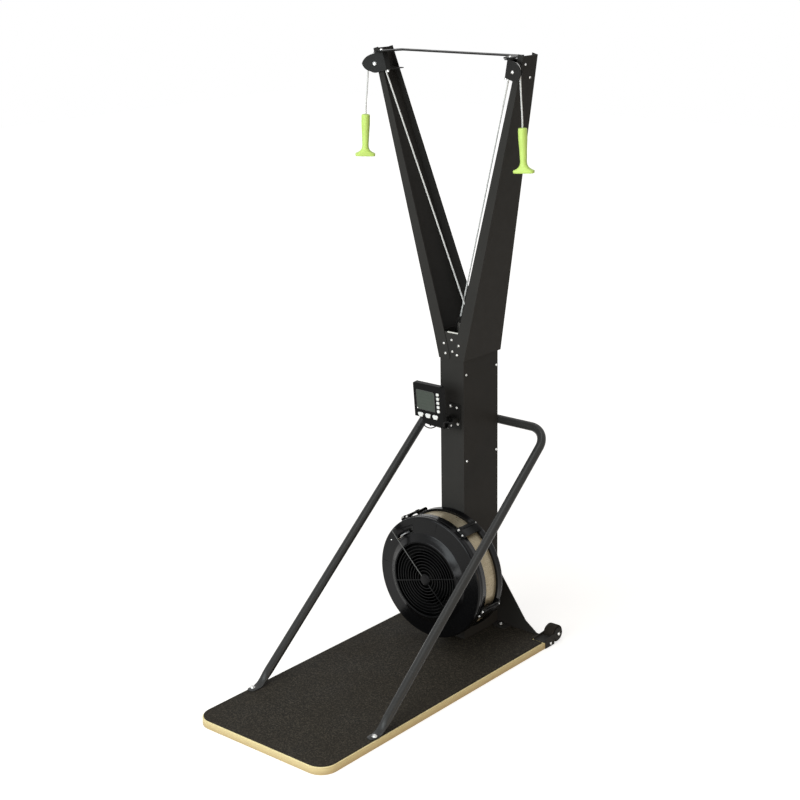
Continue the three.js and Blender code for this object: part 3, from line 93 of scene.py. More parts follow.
# The deck's front edge lies this far in front of the frame's origin
FRONT_EDGE = 0.658
TAU = 2.0 * math.pi
X_AXIS = np.array([1.0, 0.0, 0.0])
Y_AXIS = np.array([0.0, 1.0, 0.0])
Z_AXIS = np.array([0.0, 0.0, 1.0])


def back(distance: float) -> float:
    """Y of a place that lies this far behind the deck's front edge."""
    return distance - FRONT_EDGE


def tone(*channels: int) -> Colour:
    """Linear colour of an eight-bit display colour.

    Args:
        channels: Red, green and blue, from 0 to 255.

    Returns:
        The linear colour with an alpha of one.
    """
    value = np.array(channels) / 255.0
    linear = np.where(value <= 0.04045, value / 12.92, ((value + 0.055) / 1.055) ** 2.4)
    return (float(linear[0]), float(linear[1]), float(linear[2]), 1.0)


class Side(Enum):
    """The two sides of the machine; the value is the sign of X."""

    RIGHT = 1
    LEFT = -1

    @property
    def word(self) -> str:
        """The side's name as the solids spell it."""
        return self.name.lower()


# Places and sizes that several sub-assemblies share. The pulley heads are turned outwards; the
# two directions and the axle are the right head's. Each side's cord runs down in its own plane,
# and a pitch is the radius of a cord's middle on its pulley.
HEAD_TURN = math.radians(19.1)
HEAD_OUT = np.array([math.cos(HEAD_TURN), -math.sin(HEAD_TURN), 0.0])
HEAD_BACK = np.array([math.sin(HEAD_TURN), math.cos(HEAD_TURN), 0.0])
PULLEY_AXLE = np.array([0.299, back(0.9987), 2.116])
GUIDE_Z = 1.204
SHAFT_Z = 0.311
CORD_PLANE_Y = {Side.RIGHT: back(1.121), Side.LEFT: back(1.107)}
CORD_DIAMETER = 0.0055
TOP_PITCH = 0.028
GUIDE_PITCH = 0.034
DRUM_PITCH = 0.032
# The matrix for outlines in X and Z that are made thick towards the front
FACING_FRONT = np.column_stack([X_AXIS, Z_AXIS, -Y_AXIS])
# Top of the mat on the deck, and where the cord enters the right handle
MAT_TOP = 0.0315
HANDLE_TOP = np.array([0.338, back(0.986), 1.941])
# The display's tilt hinge, and how the head stands turned about it, its top towards the front
TILT_HINGE = np.array([0.009, back(0.960), 0.882])
LEAN_ANGLE = math.radians(5.0)
DISPLAY_LEAN = np.array([
    [1.0, 0.0, 0.0],
    [0.0, math.cos(LEAN_ANGLE), -math.sin(LEAN_ANGLE)],
    [0.0, math.sin(LEAN_ANGLE), math.cos(LEAN_ANGLE)],
])


# Surfaces worked out as arrays


@dataclass
class Surface:
    """A mesh in arrays.

    Attributes:
        points: The points, one row each.
        faces: Arrays of faces; every face of an array has the same number of corners.
        places: For each array of faces the texture place of every corner, or None.
    """

    points: np.ndarray
    faces: list[np.ndarray]
    places: list[np.ndarray | None] = field(default_factory=list)

    def __post_init__(self) -> None:
        """Fills up the places, so that there is one entry for each array of faces."""
        missing = len(self.faces) - len(self.places)
        self.places = list(self.places) + [None] * missing

    def set_at(self, origin: Sequence[float], columns: np.ndarray | None = None) -> "Surface":
        """The same surface in another place: origin + x * column one + y * two + z * three.

        Args:
            origin: Where the surface's own origin goes.
            columns: The three directions as the columns of a matrix, or None for no turn.

        Returns:
            The surface in its place.
        """
        turn = np.eye(3) if columns is None else np.asarray(columns, float)
        return Surface(self.points @ turn.T + np.asarray(origin, float), self.faces, self.places)

    def mirrored(self) -> "Surface":
        """The surface mirrored in the plane between left and right, faces still outwards.

        Returns:
            The mirrored surface.
        """
        flipped = [f[:, ::-1] for f in self.faces]
        places = [None if p is None else p[:, ::-1] for p in self.places]
        return Surface(self.points * np.array([-1.0, 1.0, 1.0]), flipped, places)

    def for_side(self, side: Side) -> "Surface":
        """The surface for one side of the machine; it is worked out for the right one."""
        return self if side is Side.RIGHT else self.mirrored()


def unit(rows: np.ndarray) -> np.ndarray:
    """A vector, or every row of several, made one long."""
    return rows / np.linalg.norm(rows, axis=-1, keepdims=True)


def together(*parts: Surface) -> Surface:
    """One surface that holds several.

    Args:
        parts: The surfaces.

    Returns:
        All their points and faces in one surface.
    """
    starts = np.cumsum([0] + [len(p.points) for p in parts])[:-1]
    faces = [f + s for p, s in zip(parts, starts) for f in p.faces]
    places = [place for p in parts for place in p.places]
    return Surface(np.concatenate([p.points for p in parts]), faces, places)


def copies(part: Surface, origins: np.ndarray, turns: np.ndarray) -> Surface:
    """Many copies of one surface: point = origin + turn times the surface's point.

    Args:
        part: The surface that is repeated.
        origins: Array (n, 3) of places.
        turns: Array (n, 3, 3) of directions as matrix columns.

    Returns:
        One surface with all copies.
    """
    count = len(origins)
    points = np.einsum("nij,pj->npi", turns, part.points) + origins[:, None, :]
    shift = np.arange(count)[:, None, None] * len(part.points)
    faces = [(f[None] + shift).reshape(-1, f.shape[1]) for f in part.faces]
    places = [
        None if p is None else np.broadcast_to(p, (count, *p.shape)).reshape(-1, *p.shape[1:])
        for p in part.places
    ]
    return Surface(points.reshape(-1, 3), faces, places)


def lattice(
    points: np.ndarray,
    ring_rows: bool = False,
    ring_columns: bool = False,
    places: np.ndarray | None = None,
) -> Surface:
    """Four-cornered faces over a grid of points, the grid's rows and columns in order.

    Args:
        points: Array (rows, columns, 3).
        ring_rows: Whether the last row joins the first.
        ring_columns: Whether the last column joins the first.
        places: Texture places, one for each grid line, closing lines counted again.

    Returns:
        The surface.
    """
    rows, columns = points.shape[:2]
    index = np.arange(rows * columns).reshape(rows, columns)
    if ring_rows:
        index = np.vstack([index, index[:1]])
    if ring_columns:
        index = np.hstack([index, index[:, :1]])

    def corners(a: np.ndarray) -> np.ndarray:
        """The four corners of every cell of a grid."""
        cells = [a[:-1, :-1], a[1:, :-1], a[1:, 1:], a[:-1, 1:]]
        return np.stack(cells, axis=2)

    faces = corners(index).reshape(-1, 4)
    texture = None if places is None else corners(places).reshape(-1, 4, 2)
    return Surface(points.reshape(-1, 3), [faces], [texture])


def turned(
    profile: Rows,
    centre: Sequence[float],
    axis: np.ndarray,
    sides: int = 64,
    closed: bool = False,
) -> Surface:
    """A profile turned about an axis: centre + along * axis + radius * (cos t, sin t).

    Args:
        profile: Rows of radius and place along the axis; a radius of zero is a pole.
        centre: A point on the axis.
        axis: The axis' direction.
        sides: Faces round the axis.
        closed: Whether the profile's last row joins its first.

    Returns:
        The surface.
    """
    rows = np.asarray(profile, float)
    along = unit(np.asarray(axis, float))
    helper = Z_AXIS if abs(along[2]) < 0.9 else X_AXIS
    first = unit(np.cross(helper, along))
    second = np.cross(along, first)
    angle = TAU * np.arange(sides) / sides
    ring = np.cos(angle)[:, None] * first + np.sin(angle)[:, None] * second
    points = (
        np.asarray(centre, float)
        + rows[:, 1, None, None] * along
        + rows[:, 0, None, None] * ring[None]
    )
    return lattice(points, ring_rows=closed, ring_columns=True)


def between(
    start: np.ndarray, end: np.ndarray, swing: np.ndarray | float, share: np.ndarray
) -> np.ndarray:
    """A radius turned evenly from one place to another.

    It is (sin((1 - share) * swing) * start + sin(share * swing) * end) / sin(swing).
    """
    turned_start = np.sin((1.0 - share) * swing) * start
    return (turned_start + np.sin(share * swing) * end) / np.sin(swing)


def rounded(
    corners: Rows, radii: float | Sequence[float], steps: int = 6
) -> np.ndarray:
    """An outline with an arc at each corner.

    The arc's centre lies on the corner's bisector at radius / sin(half the angle), and its
    points turn evenly from one leg to the other.

    Args:
        corners: The outline's corners in order, two numbers each.
        radii: One radius for all corners or one for each.
        steps: Parts of each arc.

    Returns:
        Array of outline points.
    """
    corner = np.asarray(corners, float)
    radius = np.broadcast_to(np.asarray(radii, float), (len(corner),))[:, None]
    before = unit(np.roll(corner, 1, axis=0) - corner)
    after = unit(np.roll(corner, -1, axis=0) - corner)
    half = 0.5 * np.arccos(np.clip((before * after).sum(1, keepdims=True), -1.0, 1.0))
    middle = before + after
    middle /= np.maximum(np.linalg.norm(middle, axis=1, keepdims=True), 1e-12)
    centre = corner + middle * radius / np.sin(half)
    leg = radius / np.tan(half)
    start = corner + before * leg - centre
    end = corner + after * leg - centre
    swing = np.maximum(math.pi - 2.0 * half, 1e-9)[:, None, :]
    share = np.linspace(0.0, 1.0, steps + 1)[None, :, None]
    arc = between(start[:, None], end[:, None], swing, share)
    return (centre[:, None] + arc).reshape(-1, 2)


def oblong(x0: float, x1: float, y0: float, y1: float) -> list[Pair]:
    """The corners of a rectangle between two places each way, in order."""
    return [(x0, y0), (x1, y0), (x1, y1), (x0, y1)]


def box_corners(x: float, y: float, w: float, h: float) -> list[Pair]:
    """The corners of a rectangle about its centre, half its width and half its height away."""
    return oblong(x - w, x + w, y - h, y + h)


def capped(body: Surface, corners: int) -> Surface:
    """Rings of that many corners with a flat face on the first and on the last ring.

    Args:
        body: The rings' surface, row after row.
        corners: Corners of each ring.

    Returns:
        The surface with both ends.
    """
    first = np.arange(corners)[None]
    flat = None if body.places[0] is None else np.zeros((1, corners, 2))
    return Surface(
        body.points, [*body.faces, first[:, ::-1], first + len(body.points) - corners],
        [*body.places, flat, flat],
    )


def slab(
    outline: np.ndarray, low: float, high: float, columns: np.ndarray | None = None
) -> Surface:
    """An outline made thick: two flat faces and walls between them.

    Args:
        outline: Array (n, 2), the outline in the plane of the first two directions.
        low: Where the slab starts along the third direction.
        high: Where it ends.
        columns: The three directions as matrix columns, or None for X, Y and Z.

    Returns:
        The surface.
    """
    count = len(outline)
    flat = np.column_stack([outline, np.full(count, low)])
    top = np.column_stack([outline, np.full(count, high)])
    turn = np.eye(3) if columns is None else np.asarray(columns, float)
    points = np.concatenate([flat, top]) @ turn.T
    ring = np.arange(count)
    following = np.roll(ring, -1)
    walls = np.column_stack([ring, following, following + count, ring + count])
    return Surface(points, [walls, ring[None, ::-1], (ring + count)[None]])


def line_lengths(path: np.ndarray) -> np.ndarray:
    """How far along a line each of its points lies."""
    steps = np.linalg.norm(np.diff(path, axis=0), axis=1)
    return np.concatenate([[0.0], np.cumsum(steps)])


def smooth_line(points: Rows, count: int) -> np.ndarray:
    """A smooth line through points, by cubics whose bend runs on from each to the next.

    Args:
        points: The points it goes through.
        count: How many points the line gets.

    Returns:
        Array of count rows.
    """
    knots = np.asarray(points, float)
    step = np.linalg.norm(np.diff(knots, axis=0), axis=1)
    at = line_lengths(knots)
    size = len(knots)
    matrix = np.eye(size)
    right = np.zeros_like(knots)
    inner = np.arange(1, size - 1)
    matrix[inner, inner - 1] = step[:-1]
    matrix[inner, inner] = 2.0 * (step[:-1] + step[1:])
    matrix[inner, inner + 1] = step[1:]
    slope = np.diff(knots, axis=0) / step[:, None]
    right[inner] = 6.0 * np.diff(slope, axis=0)
    bend = np.linalg.solve(matrix, right)
    where = np.linspace(0.0, at[-1], count)
    cell = np.clip(np.searchsorted(at, where, side="right") - 1, 0, size - 2)
    h = step[cell][:, None]
    a = (at[cell + 1] - where)[:, None] / h
    b = 1.0 - a
    curve = a * knots[cell] + b * knots[cell + 1]
    return curve + ((a**3 - a) * bend[cell] + (b**3 - b) * bend[cell + 1]) * h * h / 6.0


def carried(
    path: np.ndarray,
    section: np.ndarray,
    reference: np.ndarray,
    scale: np.ndarray | None = None,
) -> Surface:
    """A closed section carried along a line, with a flat face on each end.

    Point = line point + x * side + y * up, where side is reference x tangent and up is
    tangent x side. Texture places are the way round the section and the way along the line.

    Args:
        path: Array (n, 3), the line.
        section: Array (m, 2), the section's points in order.
        reference: A direction that the line never runs along.
        scale: Array (n, 2) that the section's x and y are multiplied by, or None.

    Returns:
        The surface.
    """
    tangent = unit(np.gradient(path, axis=0))
    aside = unit(np.cross(reference, tangent))
    upward = np.cross(tangent, aside)
    size = np.ones((len(path), 2)) if scale is None else np.asarray(scale, float)
    x = size[:, :1] * section[None, :, 0]
    y = size[:, 1:] * section[None, :, 1]
    points = path[:, None] + x[..., None] * aside[:, None] + y[..., None] * upward[:, None]
    around = line_lengths(np.vstack([section, section[:1]]))
    along = line_lengths(path)
    places = np.stack(np.broadcast_arrays(around[None, :], along[:, None]), axis=2)
    return capped(lattice(points, ring_columns=True, places=places), len(section))


def circle(radius: float, sides: int = 24) -> np.ndarray:
    """Points of a circle: radius * (cos t, sin t)."""
    angle = TAU * np.arange(sides) / sides
    return radius * np.column_stack([np.cos(angle), np.sin(angle)])


# Objects


@dataclass(frozen=True)
class Edge:
    """How the sharp edges of a piece are rounded: the width and the parts of the arc."""

    width: float = 0.0006
    parts: int = 2


# Fine edges, cut flat or rounded
FINE_CUT = Edge(0.0003, 1)
FINE_ROUND = Edge(0.0003, 2)


def make_piece(
    name: str,
    surface: Surface,
    finish: Material,
    body: str,
    stands_for: Sequence[str] = (),
    edge: Edge | None = None,
    smooth: float = 35.0,
    outward: bool = True,
) -> bpy.types.Object:
    """Puts a surface into a mesh object, dresses it and lets it ride.

    Args:
        name: The object's name.
        surface: Its shape.
        finish: Its material.
        body: The CAD body it moves with.
        stands_for: CAD nodes that it replaces.
        edge: How its sharp edges are rounded, or None.
        smooth: Edges flatter than this many degrees are shaded smooth.
        outward: Whether the faces are turned outwards once doubles are merged.

    Returns:
        The object.
    """
    mesh = bpy.data.meshes.new(name)
    faces = [row.tolist() for block in surface.faces for row in block]
    mesh.from_pydata(surface.points.tolist(), [], faces)
    if any(p is not None for p in surface.places):
        layer = mesh.uv_layers.new(name="Along")
        blocks = [
            np.zeros((f.size, 2)) if p is None else np.asarray(p, float).reshape(-1, 2)
            for f, p in zip(surface.faces, surface.places)
        ]
        layer.data.foreach_set("uv", np.concatenate(blocks).astype(np.float32).ravel())
    work = bmesh.new()
    work.from_mesh(mesh)
    bmesh.ops.remove_doubles(work, verts=work.verts, dist=1e-6)
    if outward:
        bmesh.ops.recalc_face_normals(work, faces=work.faces)
    work.to_mesh(mesh)
    work.free()
    mesh.shade_smooth()
    mesh.set_sharp_from_angle(angle=math.radians(smooth))
    mesh.materials.append(finish)
    piece = bpy.data.objects.new(name, mesh)
    bpy.context.scene.collection.objects.link(piece)
    if edge is not None:
        add_bevel(piece, edge, 30.0).harden_normals = True
    if body:
        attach(piece, body)
        if stands_for:
            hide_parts(*stands_for)
    return piece


def add_bevel(
    piece: bpy.types.Object, edge: Edge, sharp: float
) -> bpy.types.BevelModifier:
    """Rounds the edges of a piece that turn by more than so many degrees.

    Args:
        piece: The piece.
        edge: How its edges are rounded.
        sharp: Edges flatter than this many degrees are left alone.

    Returns:
        The modifier.
    """
    bevel = piece.modifiers.new("Edge", "BEVEL")
    bevel.width = edge.width
    bevel.segments = edge.parts
    bevel.limit_method = "ANGLE"
    bevel.angle_limit = math.radians(sharp)
    return bevel


def make_bolts(name: str, bolts: Surface, finish: Material) -> None:
    """Puts bright bolts on the frame."""
    make_piece(name, bolts, finish, "frame", edge=FINE_CUT)


# The CAD nodes' objects by name, filled by main()
NODES: dict[str, bpy.types.Object] = {}


def dress_solid(name: str, finish: Material, edge: float = 0.0006) -> None:
    """Gives a CAD node its material and small rounded edges; its mesh stays as it is.

    Args:
        name: The node's name.
        finish: Its material.
        edge: Width of the rounding.
    """
    solid = NODES[name]
    solid.data.materials.clear()
    solid.data.materials.append(finish)
    weld = solid.modifiers.new("Weld", "WELD")
    weld.merge_threshold = 1e-5
    add_bevel(solid, Edge(edge), 32.0)


# Finishes


class NodeSheet:
    """A short way to lay out the nodes of one material."""

    def __init__(self, name: str) -> None:
        """Starts a material with its shader.

        Args:
            name: The material's name.
        """
        self.material = bpy.data.materials.new(name)
        self.material.use_nodes = True
        self.tree = self.material.node_tree
        self.shader = self.tree.nodes["Principled BSDF"]
        self.place = self.add("ShaderNodeTexCoord").outputs["Object"]

    def add(
        self, kind: str, inputs: dict[str | int, object] | None = None, **settings: object
    ) -> bpy.types.Node:
        """Adds a node.

        Args:
            kind: The node's type.
            inputs: Values or sockets for its inputs.
            settings: Its other settings.

        Returns:
            The node.
        """
        node = self.tree.nodes.new(kind)
        for key, value in settings.items():
            setattr(node, key, value)
        for key, value in (inputs or {}).items():
            self.put(node.inputs[key], value)
        return node

    def put(self, socket: Socket, value: object) -> None:
        """Feeds an input from another socket or with a plain value.

        Args:
            socket: The input.
            value: What it gets.
        """
        if isinstance(value, Socket):
            self.tree.links.new(value, socket)
        else:
            socket.default_value = value

    def stretched(self, scale: Sequence[float]) -> Socket:
        """The object's coordinates, scaled by three numbers."""
        inputs = {"Vector": self.place, "Scale": tuple(scale)}
        return self.add("ShaderNodeMapping", inputs).outputs["Vector"]

    def noise(
        self,
        scale: float,
        detail: float = 3.0,
        rough: float = 0.5,
        stretch: Sequence[float] | None = None,
    ) -> Socket:
        """Cloudy noise on the object's coordinates.

        Args:
            scale: Clouds per metre.
            detail: Finer layers on top.
            rough: Strength of the finer layers.
            stretch: A scale for each direction, or None.

        Returns:
            The noise's factor.
        """
        where = self.place if stretch is None else self.stretched(stretch)
        inputs = {"Vector": where, "Scale": scale, "Detail": detail, "Roughness": rough}
        return self.add("ShaderNodeTexNoise", inputs).outputs["Fac"]

    def math(self, work: str, one: object, two: object = 0.0) -> Socket:
        """One sum of two numbers or sockets."""
        return self.add("ShaderNodeMath", {0: one, 1: two}, operation=work).outputs[0]

    def ranged(
        self, fac: Socket, low: float, high: float, start: float = 0.3, stop: float = 0.7
    ) -> Socket:
        """A factor spread from one number to another.

        Args:
            fac: The factor.
            low: The result where the factor is at start.
            high: The result where it is at stop.
            start: The factor's lower end.
            stop: Its upper end.

        Returns:
            The result, held between both ends.
        """
        inputs = {"Value": fac, "From Min": start, "From Max": stop, "To Min": low,
                  "To Max": high}
        return self.add("ShaderNodeMapRange", inputs).outputs["Result"]

    def mixed(self, fac: object, one: object, two: object) -> Socket:
        """A mix of two colours."""
        inputs = {0: fac, 6: one, 7: two}
        return self.add("ShaderNodeMix", inputs, data_type="RGBA").outputs[2]

    def bump(self, height: Socket, distance: float, under: object = None) -> Socket:
        """A bump of that height in metres, on top of another bump where there is one.

        Args:
            height: The height's socket.
            distance: How many metres a height of one is.
            under: Another bump's normal, or None.

        Returns:
            The normal.
        """
        inputs = {"Height": height, "Distance": distance, "Strength": 1.0}
        if under is not None:
            inputs["Normal"] = under
        return self.add("ShaderNodeBump", inputs).outputs["Normal"]

    def feed(self, **sockets: object) -> Material:
        """Feeds the shader and returns the material.

        Args:
            sockets: Shader inputs, their names with underscores for spaces.

        Returns:
            The material.
        """
        for key, value in sockets.items():
            self.put(self.shader.inputs[key.replace("_", " ")], value)
        return self.material


@dataclass(frozen=True)
class PowderCoat:
    """Baked paint on sheet steel: a pebbled skin, cloudy gloss and a little dust."""

    name: str
    colour: Colour
    dust: Colour
    roughness: float = 0.42
    level: float = 0.15

    def material(self) -> Material:
        """The finish as a material.

        Returns:
            The material.
        """
        s = NodeSheet(self.name)
        cloud = s.noise(9.0, 4.0, 0.6)
        speck = s.noise(420.0, 2.0, 0.6)
        dusty = s.math("MULTIPLY", s.ranged(cloud, 0.0, 0.5), s.ranged(speck, 0.2, 1.0))
        pebble = s.bump(s.noise(900.0, 2.0, 0.4), 0.00005)
        wave = s.bump(s.noise(14.0, 2.0, 0.4), 0.0004, pebble)
        gloss = s.ranged(s.noise(30.0, 5.0, 0.65), self.roughness - 0.07, self.roughness + 0.09)
        return s.feed(
            Base_Color=s.mixed(dusty, self.colour, self.dust),
            Roughness=gloss, Normal=wave, Specular_IOR_Level=self.level,
        )


@dataclass(frozen=True)
class MouldedPlastic:
    """Moulded plastic: a spark-worn mould's grain, flow clouds and fine rubbed scratches."""

    name: str
    colour: Colour
    pale: Colour
    roughness: float = 0.38
    grain: float = 0.00004
    level: float = 0.15

    def material(self) -> Material:
        """The finish as a material.

        Returns:
            The material.
        """
        s = NodeSheet(self.name)
        cloud = s.noise(12.0, 4.0, 0.55)
        scratch = s.noise(260.0, 3.0, 0.7, stretch=(1.0, 6.0, 0.35))
        worn = s.math("MULTIPLY", s.ranged(cloud, 0.0, 0.7), s.ranged(scratch, 0.0, 1.0, 0.45))
        skin = s.bump(s.noise(1300.0, 1.0, 0.4), self.grain)
        sunk = s.bump(s.noise(18.0, 1.0, 0.3), 0.0003, skin)
        gloss = s.ranged(scratch, self.roughness - 0.06, self.roughness + 0.1)
        return s.feed(
            Base_Color=s.mixed(worn, self.colour, self.pale),
            Roughness=gloss, Normal=sunk, Specular_IOR_Level=self.level,
        )


@dataclass(frozen=True)
class BareMetal:
    """Bare or plated metal: brushed lines, stains and a changing polish."""

    name: str
    colour: Colour
    stain: Colour
    roughness: float = 0.3
    metallic: float = 1.0
    brushed: Triple = (1.0, 1.0, 12.0)
    stained: float = 0.8

    def material(self) -> Material:
        """The finish as a material.

        Returns:
            The material.
        """
        s = NodeSheet(self.name)
        lines = s.noise(300.0, 2.0, 0.6, stretch=self.brushed)
        stains = s.noise(55.0, 5.0, 0.65)
        skin = s.bump(lines, 0.00003)
        gloss = s.math("ADD", s.ranged(stains, -0.08, 0.12), s.ranged(lines, self.roughness,
                                                                      self.roughness + 0.08))
        spread = s.ranged(stains, 0.0, self.stained, 0.45, 0.75)
        return s.feed(
            Base_Color=s.mixed(spread, self.colour, self.stain),
            Metallic=self.metallic, Roughness=gloss, Normal=skin,
        )


@dataclass(frozen=True)
class BirchPly:
    """Birch plywood: thin glued layers at its edges and long grain on its faces."""

    name: str
    pale: Colour
    dark: Colour
    # The glue lines' colour, also the painted shade at the board's lower edge
    glue_and_shade: Colour
    layer: float = 0.0014

    def material(self) -> Material:
        """The finish as a material; layers change along Z, the faces' grain runs along Y, and the
        edges get a painted shade towards the bottom.

        Returns:
            The material.
        """
        s = NodeSheet(self.name)
        split = s.add("ShaderNodeSeparateXYZ", {0: s.place})
        # Painted shade: the edges darken towards the glue colour near the board's bottom
        shade = s.ranged(split.outputs["Z"], 0.55, 0.0, 0.001, 0.02)
        wander = s.ranged(s.noise(24.0, 2.0), -0.0003, 0.0003)
        height = s.math("ADD", split.outputs["Z"], wander)
        wave = s.math("SINE", s.math("MULTIPLY", height, math.pi / self.layer))
        layers = s.ranged(wave, 0.0, 1.0, -0.35, 0.35)
        along = s.noise(55.0, 5.0, 0.7, stretch=(1.0, 1.0, 60.0))
        streak = s.noise(120.0, 4.0, 0.7, stretch=(6.0, 0.12, 1.0))
        end = s.mixed(s.ranged(along, 0.0, 0.55, 0.35, 0.8), s.mixed(layers, self.dark, self.pale),
                      self.glue_and_shade)
        face = s.mixed(s.ranged(streak, 0.0, 0.6, 0.4, 0.75), self.pale, self.dark)
        facing = s.add("ShaderNodeNewGeometry").outputs["Normal"]
        normal = s.add("ShaderNodeSeparateXYZ", {0: facing})
        level = s.math("GREATER_THAN", s.math("ABSOLUTE", normal.outputs["Z"]), 0.7)
        height = s.math("MULTIPLY", s.math("SUBTRACT", 1.0, level), layers)
        return s.feed(
            Base_Color=s.mixed(level, s.mixed(shade, end, self.glue_and_shade), face),
            Roughness=s.ranged(streak, 0.5, 0.66),
            Normal=s.bump(s.noise(700.0, 2.0, stretch=(4.0, 0.3, 1.0)), 0.00008,
                          s.bump(height, 0.00012)),
        )


@dataclass(frozen=True)
class SpeckledRubber:
    """Rolled rubber with pale crumbs in it and a pressed, dusty top."""

    name: str
    colour: Colour
    crumb: Colour
    dust: Colour

    def material(self) -> Material:
        """The finish as a material.

        Returns:
            The material.
        """
        s = NodeSheet(self.name)
        crumbs = s.noise(180.0, 3.0, 0.85)
        fine = s.noise(900.0, 2.0, 0.7)
        worn = s.noise(5.0, 4.0, 0.6)
        base = s.mixed(s.ranged(crumbs, 0.0, 0.9, 0.48, 0.66), self.colour, self.crumb)
        base = s.mixed(s.math("MULTIPLY", s.ranged(worn, 0.1, 0.6), s.ranged(fine, 0.2, 1.0)),
                       base, self.dust)
        skin = s.bump(fine, 0.00025)
        press = s.bump(s.noise(200.0, 2.0, 0.5), 0.0003, skin)
        return s.feed(
            Base_Color=base, Roughness=s.ranged(worn, 0.62, 0.8), Normal=press,
            Specular_IOR_Level=0.1,
        )


@dataclass(frozen=True)
class BraidedCord:
    """White braid on a round cord: two sets of strands that wind opposite ways, with painted shade
    in the grooves between them.

    The height is the larger of sin(a * along + b * round) and sin(a * along - b * round).
    """

    name: str
    colour: Colour
    # The grooves' painted shade, also the colour that grime turns the cord towards
    groove: Colour
    girth: float
    strands: int = 8
    lay: float = 0.022

    def material(self) -> Material:
        """The finish as a material, on the piece's own places round and along it.

        Returns:
            The material.
        """
        s = NodeSheet(self.name)
        uv = s.add("ShaderNodeUVMap", uv_map="Along").outputs["UV"]
        split = s.add("ShaderNodeSeparateXYZ", {0: uv})
        about = s.math("MULTIPLY", split.outputs["X"], TAU * self.strands / self.girth)
        along = s.math("MULTIPLY", split.outputs["Y"], TAU * self.strands / self.lay)
        one = s.math("SINE", s.math("ADD", along, about))
        two = s.math("SINE", s.math("SUBTRACT", along, about))
        weave = s.ranged(s.math("MAXIMUM", one, two), 0.0, 1.0, -0.4, 0.9)
        grime = s.noise(40.0, 4.0, 0.6)
        # Painted shade: the grooves between the strands get the darker groove colour
        shade = s.mixed(weave, self.groove, self.colour)
        return s.feed(
            Base_Color=s.mixed(s.ranged(grime, 0.0, 0.25), shade, self.groove),
            Roughness=s.ranged(weave, 0.75, 0.55), Normal=s.bump(weave, 0.0005),
            Sheen_Weight=0.15,
        )


@dataclass(frozen=True)
class LiquidCrystal:
    """A grey-green display behind a clear window, with faint printed rows."""

    name: str
    colour: Colour
    row: Colour
    pitch: float = 0.0115

    def material(self) -> Material:
        """The finish as a material.

        Returns:
            The material.
        """
        s = NodeSheet(self.name)
        split = s.add("ShaderNodeSeparateXYZ", {0: s.place})
        wave = s.math("SINE", s.math("MULTIPLY", split.outputs["Z"], TAU / self.pitch))
        rows = s.ranged(wave, 0.0, 0.35, 0.93, 0.99)
        haze = s.noise(25.0, 3.0, 0.5)
        base = s.mixed(s.ranged(haze, 0.0, 0.3), self.colour, self.row)
        return s.feed(
            Base_Color=s.mixed(rows, base, self.row),
            Roughness=s.ranged(haze, 0.2, 0.32), Specular_IOR_Level=0.1, Coat_Weight=0.1,
            Coat_Roughness=0.06,
            Normal=s.bump(s.noise(900.0, 1.0), 0.00001),
        )


